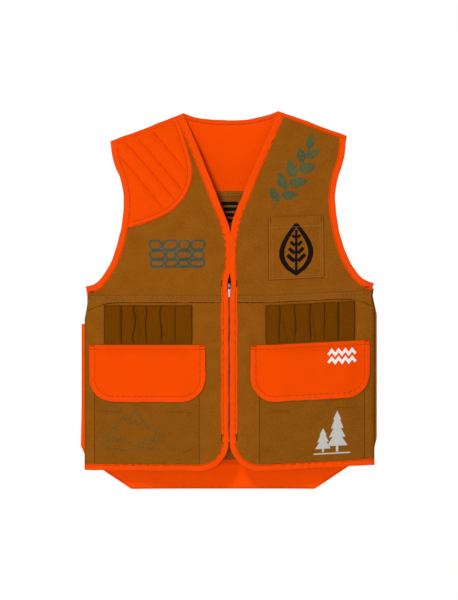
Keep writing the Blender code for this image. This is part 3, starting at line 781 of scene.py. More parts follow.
def make_back():
    def stitch(path, height, look="blaze_thread", thickness=1.0):
        sew(path, height, look, "back", "back", thickness=thickness)

    neck = smooth(BACK_NECK_CURVE, 5)
    across = mirror(neck) + neck[-2::-1]
    strip("back_neck_bias", across[::-1], 9.5, -0.4, 2.0, "binding", "back", ["back_neck_binding"], "back",
          ends=(on_shoulder(NECK_X + 9), on_shoulder(-NECK_X - 9)), ripple=0.15)
    seam = [p - Vector((0, 8.2)) for p in across]
    stitch(seam[2:-2], 1.9)
    stitch(seam[2:-2], -0.45, thickness=-1.2)

    line = offset(armhole(), BINDING - TUCK)
    arm = [crossing(line, YOKE_Z)] + [p for p in line if p.y > YOKE_Z]
    arm[-1] = on_shoulder(TIP_X - 9.6)
    under = [p - Vector((0, 7.5)) for p in across]
    under[0], under[-1] = on_shoulder(-NECK_X - 7), on_shoulder(NECK_X + 7)
    yoke_row = level(-230, 230, YOKE_Z + 2.5)

    def yoke_top(x, z):
        return CLOTH + puckers(x, z, yoke_row, 11, 0.4, 8) + puckers(x, z, seam, 9, 0.3, 7)

    # the yoke cloth is painted lighter than the blaze cloth, against the shade inside the neck
    cloth("yoke_cloth", [*under, *arm[::-1], *mirror(arm)], yoke_top, "yoke", "back", ["back_yoke"], "back",
          held="hung")

    def body_top(x, z):
        return CLOTH + puckers(x, z, yoke_row, 11, 0.4, 9) - 0.1

    half = [Vector(p) for p in ((HALF_WIDTH, BACK_HEM_Z + 12), SIDE_LINE[1], SIDE_LINE[0], (272, -345))]
    half += [p for p in line if p.y < YOKE_Z] + [crossing(line, YOKE_Z - 0.1)]
    cloth("back_cloth", half + mirror(half[::-1]), body_top, "duck", "back", ["back_body"], "back",
          held="hung")
    end_x = float(crossing(line, YOKE_Z).x)
    strip("yoke_seam_fold", level(end_x, -end_x, YOKE_Z + 8), 9, 1.0, 1.9, "blaze", "back", (), "back",
          ripple=0.2, wave=10)
    strip("yoke_seam_facing", level(-end_x, end_x, YOKE_Z - 9), 10, 0.35, -0.9, "duck", "back", (), "back",
          ripple=0.0, wave=10)
    for up in (2, 6.4):
        stitch(level(-198, 198, YOKE_Z + up), 1.95)
        stitch(level(-198, 198, YOKE_Z - up), -0.9, "duck_thread", -1.2)
    strip("back_hem_bias", level(-HALF_WIDTH, HALF_WIDTH, BACK_HEM_Z), 14, BINDING_FROM, BINDING_TO,
          "binding", "back", ["back_hem_binding"], "back")
    row = level(-HALF_WIDTH + 2, HALF_WIDTH - 2, BACK_HEM_Z + 12.2)
    stitch(row, 1.9)
    stitch(row, -0.5, thickness=-1)
    for side, word in ((-1, "right"), (1, "left")):
        strip(f"{word}_armhole_bias_back", armhole(), BINDING, BINDING_FROM, BINDING_TO, "binding", "back",
              [f"{word}_armhole_binding_back"], "back", side, ends=(None, on_shoulder(TIP_X - 11.5)))
        sew(offset(armhole(), BINDING - ROW_IN)[1:-1], ON_BINDING, "blaze_thread", "back", "back", side)
        shoulder = [on_shoulder(TIP_X, -0.2), on_shoulder(NECK_X, -0.2)]
        strip(f"{word}_shoulder_fold", shoulder, 8, 0.4, 2.2, "blaze", "back", (), "front", side, ripple=0.12,
              top=lambda x, z: 0.5 * smoothstep(shoulder_z(x) - z, 0, 5))
        row = [on_shoulder(TIP_X - 2, 6.8), on_shoulder(NECK_X + 6, 6.8)]
        sew(row, 2.75, "blaze_thread", "back", "front", side)
        row = [on_shoulder(TIP_X - 12, 5), on_shoulder(NECK_X + 9, 5)]
        sew(row, 1.25, "blaze_thread", "back", "back", side)


# ---------------------------------------------------------------- a front


SEAM_FROM_X, SEAM_TO_X = 10, 275
# the fold below the chest seam sags at its end
SEAM_SAG = [(215, 0.0), (238, 2.8), (256, 8.5), (271.5, 16.0)]
FOLD_X = (14.5, 110, 205, 222, 231, 240, 248, 256, 264, 271.5)


def chest_top(side):
    edge, arm = offset(front_edge(), BINDING), offset(armhole(), BINDING)
    seam = level(SEAM_FROM_X, SEAM_TO_X, CHEST_SEAM_Z + 5)
    pad = smooth(PAD_CURVE, 4)

    def top(x, z):
        made = CLOTH + puckers(x, z, edge, 9, 0.28, 6) + puckers(x, z, arm, 9, 0.4, 8)
        made += puckers(x, z, seam, 8, 0.5, 8)
        if side < 0:
            made += puckers(x, z, pad, 9, 0.3, 6)
        return made

    return top


def make_chest(side, word):
    body, top = f"{word}_front", chest_top(side)
    edge = offset(front_edge(), BINDING - TUCK)
    edge[0] = on_shoulder(NECK_X + 9)
    inner = [p for p in edge if p.y > CHEST_SEAM_Z] + [crossing(edge, CHEST_SEAM_Z)]
    arm = offset(armhole(side), BINDING - TUCK)
    arm[-1] = on_shoulder(TIP_X - 9.6)
    outline = [*inner, SIDE_LINE[0], (271, -351), *arm]
    cloth(f"{word}_chest_cloth", outline, top, "duck", body, [f"{word}_chest_panel"], side=side, spacing=4.5,
          held="hung")

    # the bindings rise over and beside the recoil pad
    def over_pad(x, z):
        return (2.3 if side < 0 else 0) * smoothstep(z, -236, -214)

    def beside_pad(x, z):
        return (1.9 if side < 0 else 0) * smoothstep(z, -140, -95)

    strip(f"{word}_armhole_bias_front", armhole(side), BINDING + 1, BINDING_FROM, BINDING_TO, "binding", body,
          [f"{word}_armhole_binding_front"], side=side, ends=((271.2, -352), on_shoulder(TIP_X - 12.5)),
          top=over_pad)
    row = offset(armhole(side), BINDING - 0.9)[1:-2]
    sew(row, lambda x, z: ON_BINDING + over_pad(x, z), "blaze_thread", body, side=side)
    bar_tack(263, -341.5, 2.3, "tack_thread", body, 9, 2.2, False, side=side)
    edge = front_edge()
    strip(f"{word}_front_bias", edge, neck_width, BINDING_FROM, BINDING_TO, "binding", body,
          [f"{word}_front_binding"], side=side, ends=(on_shoulder(NECK_X + 14), None), ripple=0.5, wave=17,
          top=beside_pad)
    row = offset(edge, [neck_width(p) - ROW_IN for p in edge])[2:]
    sew(row, lambda x, z: ON_BINDING + beside_pad(x, z), "blaze_thread", body, side=side)

    # the felled seam below the chest, folded along its lower edge
    def sag(x):
        return float(table(x, SEAM_SAG))

    low = CHEST_SEAM_Z - 2.5
    fold = [Vector((x, low - sag(x))) for x in FOLD_X]
    strip(f"{word}_felled_seam", fold, lambda p: Vector((0, 13.5 + sag(p.x))), 0.9, 2.7, "duck", body,
          side=side, ripple=0.75, wave=7.6, top=lambda x, z: top(x, z) - CLOTH, sway=0.5)
    for up in (1.9, 10.2):
        # each light stitch has a small dark one after it: painted shade where the thread sinks into the cloth
        for look, shift, lift, length, thickness in (("duck_thread", 0, 1.55, 2.4, 1.5),
                                                     ("dark_thread", 1.9, 1.35, 1.3, 1.2)):
            sew(level(16 + shift, 270.5 + shift, low + up), lambda x, z: top(x, z) + lift, look, body,
                side=side, pitch=3.8, length=length, thickness=thickness)
    # painted shadow under the seam's folded edge, drawn as a dark row
    shade([p - Vector((0, 0.6)) for p in fold], lambda x, z: top(x, z) - 0.1, body, side, 1.5)


def lower_top(side):
    edge = offset(front_edge(), BINDING)
    seam = level(SEAM_FROM_X, SEAM_TO_X, CHEST_SEAM_Z)

    def top(x, z):
        return CLOTH + puckers(x, z, edge, 9, 0.3, 6) + puckers(x, z, seam, 8, 0.5, 9)

    return top


def make_lower_front(side, word):
    body = f"{word}_front"
    edge = offset(front_edge(), BINDING - TUCK)
    inner = [crossing(edge, CHEST_SEAM_Z)] + [p for p in edge if p.y < CHEST_SEAM_Z]
    inner[-1].x = HALF_WIDTH
    cloth(f"{word}_lower_cloth", [*inner, SIDE_LINE[1], SIDE_LINE[0]], lower_top(side), "duck", body,
          [f"{word}_lower_front_panel"], side=side, held="hung")
    facing_x = SLIT + BINDING + FACING
    strip(f"{word}_facing_edge", [(facing_x, -612), (facing_x, -331)], FACING + 0.6, 0.5, 1.7, "binding",
          body, [f"{word}_zipper_facing"], side=side, ripple=0.15, wave=7)
    for z in (-326, -618):
        bar_tack(SLIT + BINDING + 1.0, z, 1.7, "tack_thread", body, 12, 3.0, side=side)


# ---------------------------------------------------------------- pockets, loops and pad


def pocket_bulge(x, z, depth=7.5):
    sides = smoothstep(np.minimum(x - POCKET_X[0], POCKET_X[1] - x), 0, 42)
    return depth * sides * smoothstep(z, POCKET_Z[1], POCKET_Z[1] + 90)


POCKET_CREASES = [[Vector(p) for p in crease] for crease in (
    ((70, -572), (92, -569.5), (116, -571)), ((204, -569), (226, -570.5), (247, -569.5)),
    ((66, -640), (88, -648), (100, -662)),
)]


def box_outline(x, z):
    return [Vector(p) for p in ((x[0], z[0]), (x[0], z[1]), (x[1], z[1]), (x[1], z[0]))]


def pocket_top(x, z):
    waves = 0.5 * np.sin(x / 23 + z / 41) * np.sin(z / 19 - x / 60)
    creased = 0
    for line in POCKET_CREASES:
        creased = creased + 2.2 * np.exp(-((nearest(x, z, line)[0].reshape(np.shape(x)) / 1.8) ** 2))
    gathers = puckers(x, z, box_outline(POCKET_X, POCKET_Z), 10, 0.35, 8)
    return 2.7 + pocket_bulge(x, z) + waves - creased + gathers


def blunt(corners, length):
    """The outline with each corner cut off in two short steps."""
    made = []
    for k, corner in enumerate(corners):
        before = (corners[k - 1] - corner).normalized() * length
        after = (corners[(k + 1) % len(corners)] - corner).normalized() * length
        made += [corner + before, corner + before * 0.3 + after * 0.3, corner + after]
    return made


def make_pocket(side, word):
    body = f"{word}_front"
    lines = [[p + Vector((0, up)) for p in line] for line in POCKET_CREASES for up in (-2.6, 0, 2.6)]
    cloth(f"{word}_pocket_cloth", blunt(box_outline(POCKET_X, POCKET_Z), 2), pocket_top, "pocket", body,
          [f"{word}_pocket"], side=side, spacing=4.5, lines=lines, held="hung")
    for edge_x, way in zip(POCKET_X, (1, -1)):
        for inset, thickness in ((2.2, 0.9), (7.4, 0.8)):
            row = [(edge_x + way * inset, z) for z in POCKET_Z]
            sew(row, lambda x, z: pocket_top(x, z) + 0.02, "pocket_thread", body, side=side,
                thickness=thickness)
        # painted shadow along the pocket's sides, drawn as a dark row just outside them
        shade([(edge_x - way * 0.5, z) for z in POCKET_Z], 1.5, body, side, 1.0)


def flap_top(x, z):
    over = pocket_bulge(x, np.minimum(z, POCKET_Z[0]), 7.5)
    climb = smoothstep(-z, -FLAP_Z[0], -FLAP_Z[0] + 24)
    line = flap_edge(1, BINDING)
    waves = 0.7 * np.sin(x / 29 + 1) * np.sin(z / 21 + x / 83) + 0.3 * np.sin(x / 13 + z / 17)
    top_line = level(FLAP_INNER[1], FLAP_OUTER, FLAP_Z[0])
    gather = puckers(x, z, line, 10, 0.4, 7) + puckers(x, z, top_line, 12, 0.4, 7)
    return 3.3 + (over + 2.4 + waves) * climb + gather


def over_binding(x, side):
    return np.where((x < FLAP_INNER[side] + BINDING) | (x > FLAP_OUTER - BINDING), 1.0, 0.0)


def make_flap(side, word):
    body = f"{word}_flap"
    inner = flap_edge(side, BINDING - TUCK)
    cloth(f"{word}_flap_cloth", inner, flap_top, "blaze", body, [f"{word}_pocket_flap"], side=side,
          spacing=4.5, held="hung")
    strip(f"{word}_flap_bias", flap_edge(side), BINDING, -1.6, 0.75, "binding", body,
          [f"{word}_flap_binding"], side=side, top=flap_top, ripple=0.4, wave=12)
    sew(flap_edge(side, BINDING - ROW_IN), lambda x, z: flap_top(x, z) + 0.5, "blaze_thread", body, side=side)
    row = level(FLAP_INNER[side] + 2, FLAP_OUTER - 2, FLAP_Z[0] - 7.8)
    sew(row, lambda x, z: flap_top(x, z) + 0.75 * over_binding(x, side), "blaze_thread", body, side=side)
    for x in (FLAP_INNER[side] + 5.5, FLAP_OUTER - 5.5):
        for down in (1.6, 7.6):
            bar_tack(x, FLAP_Z[0] - down, lambda a, b: flap_top(a, b) + 0.7, "blaze_thread", body, 9, 1.6,
                     False, side=side)


LOOP_HEIGHTS = [3.4, 3.0, 3.8, 3.4, 4.2, 4.6]
BENT = {-1: {2: 1.6, 3: 1.0, 4: 2.6}, 1: {1: 1.0, 2: 1.2, 3: 1.0, 4: 0.8}}  # how far each divider wavers
GROOVES = {  # the width of the fold beside each divider
    -1: [0.8, 0.35, 0.8, 0.8, 2.0, 2.4, 0.8],
    1: [0.8, 1.7, 0.8, 1.8, 0.6, 2.2, 0.8],
}
CREASES = {  # folds in slack elastic: from, to, waver, width and depth
    -1: [((174.5, -367), (173.5, -441), 2.4, 1.5, 2.6)],
    1: [((97, -367), (112, -441), 0.6, 1.5, 2.2), ((155, -367), (166, -441), 0.6, 1.4, 2.0),
        ((125, -367), (128, -441), 0.8, 1.2, 1.2)],
}
LOOP_BASE = 2.2


def divider(k, z, side):
    """Where the sewn line beside loop k runs at height z."""
    bend = BENT[side].get(k, 0) * np.sin((z - LOOPS_Z[0]) / 11 + 2.1 * k + side)
    middle = smoothstep(LOOPS_Z[0] - z, 0, 14) * smoothstep(z - LOOPS_Z[1], 0, 10)
    return DIVIDERS[side][k] + bend * middle


def crease_line(crease, count=16):
    (x_top, z_top), (x_low, z_low), waver, *_ = crease
    shares = np.linspace(0, 1, count)
    return [Vector((x_top + (x_low - x_top) * u + waver * math.sin(6.3 * u + 0.4),
                    z_top + (z_low - z_top) * u))
            for u in shares]


def loops_top(side):
    """Flat elastic that sinks into a fold at each sewn line."""
    def top(x, z):
        made = np.full(np.shape(x), LOOP_BASE)
        for k in range(LOOPS):
            low, high = divider(k, z, side), divider(k + 1, z, side)
            rise = 1 - np.exp(-np.maximum(0, x - low) / GROOVES[side][k])
            fall = 1 - np.exp(-np.maximum(0, high - x) / GROOVES[side][k + 1])
            lip = 0.5 * np.exp(-(((x - low - 4) / 2.5) ** 2))
            slack = 0.5 * np.sin(z / 9 + 2.3 * k + x / 12)
            closed = 0.3 + 0.7 * smoothstep(z - LOOPS_Z[1], 0, 18)
            closed = closed * (0.6 + 0.4 * smoothstep(LOOPS_Z[0] - z, 0, 6))
            height = (LOOP_HEIGHTS[k] + lip + slack) * rise * fall * closed
            made = np.where((x > low) & (x < high), LOOP_BASE + height, made)
        for crease in CREASES[side]:
            distance = nearest(x, z, crease_line(crease))[0].reshape(np.shape(x))
            made = np.maximum(LOOP_BASE, made - crease[4] * np.exp(-((distance / crease[3]) ** 2)))
        return made

    return top


def make_shell_loops(side, word):
    body = f"{word}_front"
    top = loops_top(side)
    shares = np.linspace(0, 1, 25)[:-1]
    shares = shares - 0.9 * np.sin(2 * np.pi * shares) / (2 * np.pi)
    columns = [(k, share) for k in range(LOOPS) for share in shares] + [(LOOPS - 1, 1.0)]
    z = np.linspace(LOOPS_Z[0], LOOPS_Z[1], 34)
    xs = np.stack([divider(k, z, side) * (1 - share) + divider(k + 1, z, side) * share
                   for k, share in columns],
                  axis=1)
    zs = np.repeat(z[:, None], len(columns), axis=1)
    heights = top(xs, zs)
    heights[:, [share in (0.0, 1.0) for _, share in columns]] = LOOP_BASE
    sheets = [lay(xs.ravel(), (heights - under).ravel(), zs.ravel(), "front", side) for under in (0, 0.9)]
    weave = np.tile(np.stack([xs.ravel(), zs.ravel()], axis=1), (2, 1))
    wide, rows = len(columns), len(z)
    below = wide * rows
    faces = []
    for r in range(rows - 1):
        for c in range(wide - 1):
            a = r * wide + c
            quad = (a, a + wide, a + wide + 1, a + 1)
            faces += [quad, tuple(v + below for v in reversed(quad))]
    border = [*range(wide - 1), *range(wide - 1, below - 1, wide), *range(below - 1, below - wide, -1),
              *range(below - wide, 0, -wide)]
    faces += [(a, b, b + below, a + below) for a, b in zip(border, border[1:] + border[:1])]
    piece(f"{word}_loop_elastic", np.concatenate(sheets), faces, weave, "elastic", body,
          [f"{word}_shell_loops"], sharp=60)
    for k in range(LOOPS + 1):
        inset = {0: 1.6, LOOPS: -1.6}.get(k, 0)
        heights = np.linspace(LOOPS_Z[0] - 1, LOOPS_Z[1] + 1, 16)
        row = list(zip(divider(k, heights, side) + inset, heights))
        # the divider stitches darken and widen with the fold beside them: real stitching with the fold's
        # shade painted on
        look = "groove_thread" if GROOVES[side][k] > 1.5 else "dark_thread"
        sew(row, top if inset else LOOP_BASE, look, body, side=side, pitch=2.4, length=2.1,
            thickness=0.3 + 0.8 * GROOVES[side][k])
    for z in (LOOPS_Z[0] - 1.6, LOOPS_Z[1] + 1.6):
        sew(level(DIVIDERS[side][0] + 2, DIVIDERS[side][-1] - 2, z), top, "dark_thread", body, side=side,
            pitch=2.8, length=2.0, thickness=0.9)


def chest_pocket_top(x, z):
    (low_x, high_x), low_z = CHEST_POCKET_X, CHEST_POCKET_Z[1]
    bulge = smoothstep(np.minimum(x - low_x, high_x - x), 0, 30) * smoothstep(z, low_z, low_z + 60)
    return chest_top(1)(x, z) + 1.0 + 2.6 * bulge


def over_hem(x, z, lift):
    """The chest pocket's height, and lift more on its hem."""
    hem_z = CHEST_POCKET_Z[0] - CHEST_HEM
    return chest_pocket_top(x, z) + lift * smoothstep(z, hem_z - 0.5, hem_z + 0.5)


def make_chest_pocket():
    body = "left_front"
    (low_x, high_x), (high_z, low_z) = CHEST_POCKET_X, CHEST_POCKET_Z
    outline = [Vector(p) for p in ((low_x, high_z), (low_x + 1, low_z), (high_x + 1, low_z),
                                   (high_x, high_z))]
    cloth("chest_pocket_cloth", outline, chest_pocket_top, "duck", body, ["chest_pocket"], spacing=4,
          held="hung")
    strip("chest_pocket_hem", [(high_x - 0.2, high_z), (low_x + 0.2, high_z)], CHEST_HEM, 0.2, 1.0, "duck",
          body, top=chest_pocket_top, ripple=0.12, wave=14)
    hem_row = high_z - CHEST_HEM + 1.6
    sew([(low_x + 1, hem_row), (high_x - 1, hem_row)], lambda x, z: chest_pocket_top(x, z) + 0.75,
        "duck_thread", body)
    for inset in (1.8, 6.6):
        row = [(low_x + inset, high_z), (low_x + inset + 0.8, low_z + inset),
               (high_x - inset + 0.8, low_z + inset), (high_x - inset, high_z)]
        sew(row, lambda x, z: over_hem(x, z, 0.75), "duck_thread", body, thickness=0.85)
    # painted shadow round the chest pocket's edges, drawn as a dark row just outside them
    middle = (low_x + high_x) / 2
    shade([p + Vector((-0.5 if p.x < middle else 0.5, -0.5)) for p in outline],
          lambda x, z: chest_top(1)(x, z) + 0.1, body, 1, 0.9)
    for x in (low_x + 4.4, high_x - 4.4):
        bar_tack(x, high_z - 5, lambda a, b: chest_pocket_top(a, b) + 0.9, "tack_thread", body, 9, 2.8)


def pad_top(x, z):
    outline = smooth(PAD_CURVE, 3)
    inner = nearest(x, z, offset(outline, PAD_STRIP - 1))[0]
    arm = nearest(x, z, offset(armhole(), BINDING))[0]
    shoulder = np.abs(shoulder_z(x) - z - 7)
    puff = 1 - np.exp(-np.minimum(np.minimum(inner, arm), shoulder) / 5)
    for a, b in QUILT_LINES:
        distance = nearest(x, z, [Vector(a), Vector(b)])[0]
        puff = puff * (1 - np.exp(-distance / 4.2))
    soft = 0.95 * np.sin(x / 7 + z / 11) * np.sin(z / 8 - x / 19)
    soft += 0.6 * np.sin(x / 3.7 - z / 9) * np.sin(z / 4.6)
    cross = sum(puckers(x, z, [Vector(a), Vector(b)], 13, 0.8, 13) for a, b in QUILT_LINES)
    return 2.4 + 4.0 * puff + soft * puff + cross * puff


def make_recoil_pad():
    body, side = "right_front", -1
    curve = smooth(PAD_CURVE, 5)
    strip("recoil_pad_bias", curve, PAD_STRIP, 0.9, 3.6, "binding", body, ["recoil_pad_binding"], side=side,
          ends=(on_shoulder(PAD_CURVE[0][0] + PAD_STRIP, 4), None), ripple=0.22)
    for inset, height in ((1.9, 3.8), (PAD_STRIP - 1.8, 3.45)):
        sew(offset(curve, inset)[2:-1], height, "blaze_thread", body, side=side)
    inner = offset(curve, PAD_STRIP - 1.5)
    inner[0] = on_shoulder(PAD_CURVE[0][0] + PAD_STRIP, 6)
    arm = [p for p in offset(armhole(), BINDING - 1.5) if p.y > inner[-1].y + 2]
    arm[-1] = on_shoulder(arm[-1].x, 6)
    lines = [[Vector(a), Vector(b)] for a, b in QUILT_LINES]
    pad = cloth("recoil_pad_quilt", [*inner, *arm], pad_top, "blaze", body,
                ["recoil_pad_cover", "recoil_pad_foam"], side=side, spacing=3.2, thick=2.0, lines=lines)
    for line in lines:
        sew(line, lambda x, z: pad_top(x, z) - 0.1, "blaze_thread", body, side=side, length=3.0,
            thickness=1.1)


# ---------------------------------------------------------------- bag


def bag_wave(x, z):
    return 0.6 * np.sin(x / 37 + z / 53) * np.sin(z / 47)


def make_bag():
    inner_top, outer_low = BAG_INNER + BAG_CLOTH, BAG_INNER + BAG_DEPTH
    edge, high = bag_edge(), BAG_OUTLINE[0][1]
    left_x, right_x = edge[-1].x, edge[0].x
    on_outer = {"face": "back", "bag": True}
    # the bag's inner wall is painted lighter than the blaze cloth, against the fronts' shadow on it
    cloth("bag_inner_cloth", edge, lambda x, z: inner_top + 0 * x, "painted_light_lining", "back", ["game_bag_inner_wall"],
          "back", bag=True, spacing=9, held="hung")

    def outer_top(x, z):
        return outer_low + BAG_CLOTH + bag_wave(x, z) + puckers(x, z, edge, 11, 0.5, 10)

    cloth("bag_outer_cloth", edge, outer_top, "blaze", "bag_outer", ["game_bag_outer_wall"], spacing=6,
          held="hung", **on_outer)
    strip("bag_top_bias", [(left_x, high), (right_x, high)], 12, outer_low - 0.6, outer_low + 2.2, "binding",
          "bag_outer", ["game_bag_top_binding"], top=bag_wave, **on_outer)
    row = [(right_x + 2, high - 10.4), (left_x - 2, high - 10.4)]
    sew(row, lambda x, z: outer_low + 2.0 + bag_wave(x, z), "blaze_thread", "bag_outer", **on_outer)
    seam = resample(offset(edge, 3.0), 6)[1:-1]
    sew(seam, lambda x, z: outer_top(x, z) + 0.02, "blaze_thread", "bag_outer", **on_outer)
    sew([p for p in seam if p.y < BACK_HEM_Z - 4], inner_top - BAG_CLOTH, "blaze_thread", "back",
        thickness=-1, **on_outer)
    make_gusset(edge, inner_top, outer_low)


# share of depth, fold
GUSSET_SECTION = [(0, 0.0), (0.2, 2.2), (0.45, 4.6), (0.55, 4.6), (0.8, 2.2), (1.0, 0.0)]
GUSSET_LEAN = 19 / 152  # how far a side strip's turning leans outward as it goes back


def make_gusset(edge, low, high):
    """The bag's side and bottom strips."""
    count, step = len(edge) // 2, 5.0
    section = GUSSET_SECTION + [(share, depth + BAG_CLOTH) for share, depth in reversed(GUSSET_SECTION)]
    for word, run, lean in (("right", edge[:count], -GUSSET_LEAN), ("bottom", edge[count - 1:count + 1], 0.0),
                            ("left", edge[count:], GUSSET_LEAN)):
        run = evened(run, step)
        place = np.arange(len(run)) * step
        points, weave = [], []
        for share, depth in section:
            xs, zs = np.array(offset(run, depth + 0.2)).T
            heights = low - 0.3 + share * (high - low + 0.6)
            heights = heights + 0.4 * np.sin(place / 11) * math.sin(math.pi * share)
            points.append(lay(xs, heights, zs, "back", 1, True))
            weave.append(np.stack([place, np.full(place.shape, share * 20 + depth)], axis=1))
        obj = piece(f"bag_gusset_{word}", np.concatenate(points), tube_faces(len(points), len(run)),
                    np.concatenate(weave), "blaze", None, sharp=75)
        start_x = 0 if word == "bottom" else run[0].x
        start = Vector(lay([start_x], [low], [run[0].y], "back", 1, True)[0])
        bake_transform(obj)
        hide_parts("game_bag_gusset")


# ---------------------------------------------------------------- zip


CHAIN_TOP, TAPE_TOP = -339.5, -336.5
TOOTH_PITCH, TOOTH_MIDDLE = 2.4, 1.45
TOOTH_OUTLINE = [(-0.55, 0.42), (0.3, 0.34), (0.9, 0.62), (1.5, 0.62), (2.3, 0.5), (3.4, 0.5)]
# height from the chain's middle, and scale
TOOTH_LEVELS = [(-1.15, 0.8), (-0.85, 1.0), (0.85, 1.0), (1.15, 0.8)]
TAPE_BEND = [(2.4, -0.5), (5.5, -0.5), (7.6, -0.3), (10.0, 1.6), (12, 2.0), (17, 2.0)]
TAPE_THICKNESS = 0.7


def make_zip(side, word):
    body = f"{word}_front"
    outline = TOOTH_OUTLINE + [(x, -h) for x, h in reversed(TOOTH_OUTLINE)]
    one = loft_faces(len(TOOTH_LEVELS), len(outline))
    points, faces = [], []
    for k in range(int((CHAIN_TOP - ZIP_BOTTOM) / TOOTH_PITCH)):
        z = CHAIN_TOP - TOOTH_PITCH * (k + (0.5 if side > 0 else 0))
        first = len(points)
        faces += [tuple(first + v for v in face) for face in one]
        points += [(TOOTH_MIDDLE + (x - TOOTH_MIDDLE) * scale, CHAIN_T + level, z + h * scale)
                   for level, scale in TOOTH_LEVELS for x, h in outline]
    piece(f"{word}_zip_teeth", lay(*np.array(points).T, "front", side), faces, np.zeros((len(points), 2)),
          "zip_teeth", body, [f"{word}_zipper_teeth"], sharp=35)
    # the tape, bent back round the teeth
    zs = np.linspace(TAPE_TOP, ZIP_BOTTOM - 10, 60)
    section = TAPE_BEND + [(x, t + TAPE_THICKNESS) for x, t in reversed(TAPE_BEND)]
    points = [lay(np.full(zs.shape, x), CHAIN_T - 0.1 + t, zs, "front", side) for x, t in section]
    weave = [np.stack([np.full(zs.shape, x), zs], axis=1) for x, _ in section]
    piece(f"{word}_zip_tape", np.concatenate(points), tube_faces(len(points), len(zs)), np.concatenate(weave),
          "tape", body, [f"{word}_zipper_tape"], sharp=60)


def metal(name, rings, faces, body, look="zip_metal", stands_for=(), sharp=40):
    """A metal piece of rings of flat points."""
    points = np.concatenate([lay(*np.array(ring).T, "front") for ring in rings])
    return piece(name, points, faces, np.zeros((len(points), 2)), look, body, stands_for, sharp)


def plate(name, outline, levels, middle_z, **finish):
    """A flat form: the outline round middle_z, scaled, at each (height, scale) of levels."""
    rings = [[(x * scale, t, middle_z + z * scale) for x, z in outline] for t, scale in levels]
    return metal(name, rings, loft_faces(len(levels), len(outline)), "slider", **finish)


SLIDER = (-325.0, -336.0)
SLIDER_OUTLINE = [(-4.3, 5.2), (-3.0, 5.9), (3.0, 5.9), (4.3, 5.2), (4.4, 1.0), (3.1, -3.6), (2.7, -5.3),
                  (1.8, -5.9), (-1.8, -5.9), (-2.7, -5.3), (-3.1, -3.6), (-4.4, 1.0)]
POST_OUTLINE = [(-0.5, 2.4), (0.5, 2.4), (0.7, -2.4), (-0.7, -2.4)]
BRIDGE_STATIONS, BRIDGE_SIDES = 15, 8
PULL_OUTLINE = [(-1.9, 1.2), (1.9, 1.2), (2.4, 0.4), (2.4, -7.5), (1.8, -19.8), (1.0, -21.6), (-1.0, -21.6),
                (-1.8, -19.8), (-2.4, -7.5), (-2.4, 0.4)]
PULL_WINDOW = [(-1.4, 0.3), (1.4, 0.3), (1.7, 0.0), (1.7, -5.8), (1.2, -6.4), (0.6, -6.6), (-0.6, -6.6),
               (-1.2, -6.4), (-1.7, -5.8), (-1.7, 0.0)]
# height from the tab's middle, and its edge's inset
PULL_LEVELS = [(-0.6, 0.3), (-0.35, 0.0), (0.35, 0.0), (0.6, 0.3)]


def make_slider():
    top, bottom = SLIDER
    front = {"look": "dark_metal", "stands_for": ["zipper_slider"]}
    for name, low, high, finish in (("front", -2.0, -0.8, front), ("back", -6.1, -4.8, {})):
        plate(f"slider_{name}_plate", SLIDER_OUTLINE,
              [(low, 0.9), (low + 0.3, 1.0), (high - 0.4, 1.0), (high, 0.86)], (top + bottom) / 2, **finish)
    plate("slider_post", POST_OUTLINE, [(-5.2, 1), (-1.4, 1)], top - 2.6)
    # the bridge: an arch in the plane x = 0 that the pull tab hangs on
    turns = [math.pi * k / (BRIDGE_STATIONS - 1) for k in range(BRIDGE_STATIONS)]
    path = [(3.9 * math.cos(turn), -1.1 + 6.2 * min(1.0, 1.25 * math.sin(turn)) ** 0.8) for turn in turns]
    rings = []
    for k, (z, t) in enumerate(path):
        before, after = path[max(0, k - 1)], path[min(len(path) - 1, k + 1)]
        run = Vector((after[0] - before[0], after[1] - before[1])).normalized()
        rings.append([])
        for m in range(BRIDGE_SIDES):
            angle = 2 * math.pi * (m + 0.5) / BRIDGE_SIDES
            x, out = 0.85 * math.cos(angle), 0.42 * math.sin(angle)
            rings[-1].append((x, t - run.x * out, top - 4.8 + z + run.y * out))
    metal("slider_bridge", rings, loft_faces(BRIDGE_STATIONS, BRIDGE_SIDES), "slider", sharp=45)
    # the pull tab, with the window that the bridge passes through
    axis_t, axis_z = 3.5, top - 5.0
    rings = [[(x * (1 - inset / 3), axis_t + t, axis_z + z + inset * (0.5 - (z > -10)))
              for x, z in PULL_OUTLINE]
             for t, inset in PULL_LEVELS]
    rings += [[(x * (1 + inset / 3), axis_t + t, axis_z + z) for x, z in PULL_WINDOW]
              for t, inset in reversed(PULL_LEVELS)]
    metal("pull_tab_plate", rings, grid_faces(len(rings), len(PULL_OUTLINE), True, True), "pull",
          stands_for=["zipper_pull_tab"])


# ---------------------------------------------------------------- prints


INK = 0.12  # a print's thickness


def print_on(name, shapes, top, look, body, face="front", side=1, lift=0.22, spacing=3.0, under=False):
    """Thin printed shapes on the cloth whose outer height is top(x, z). under prints on its inner side."""
    drawn = []
    way = -1 if under else 1
    for k, shape in enumerate(shapes):
        drawn.append(cloth(f"{name}_{k}", shape, lambda x, z: top(x, z) + way * lift, look, body, face=face,
                           side=side, spacing=spacing, thick=way * INK))
    return drawn


def leaf(x, z, length, width, turn, bend=0.0):
    """A pointed leaf from its stalk at x, z, turned from the X axis by turn degrees."""
    made = []
    turn = math.radians(turn)
    for way in (1, -1):
        for k in range(9):
            u = k / 8 if way > 0 else 1 - k / 8
            if way < 0 and k in (0, 8):
                continue
            v = way * width / 2 * math.sin(math.pi * u**0.8) + bend * math.sin(math.pi * u)
            u *= length
            made.append(Vector((x + u * math.cos(turn) - v * math.sin(turn),
                                z + u * math.sin(turn) + v * math.cos(turn))))
    return made


def ribbon(points, width):
    """A line of this width as an outline."""
    points = [Vector(p) for p in points]
    return offset(points, width / 2) + offset(points, -width / 2)[::-1]


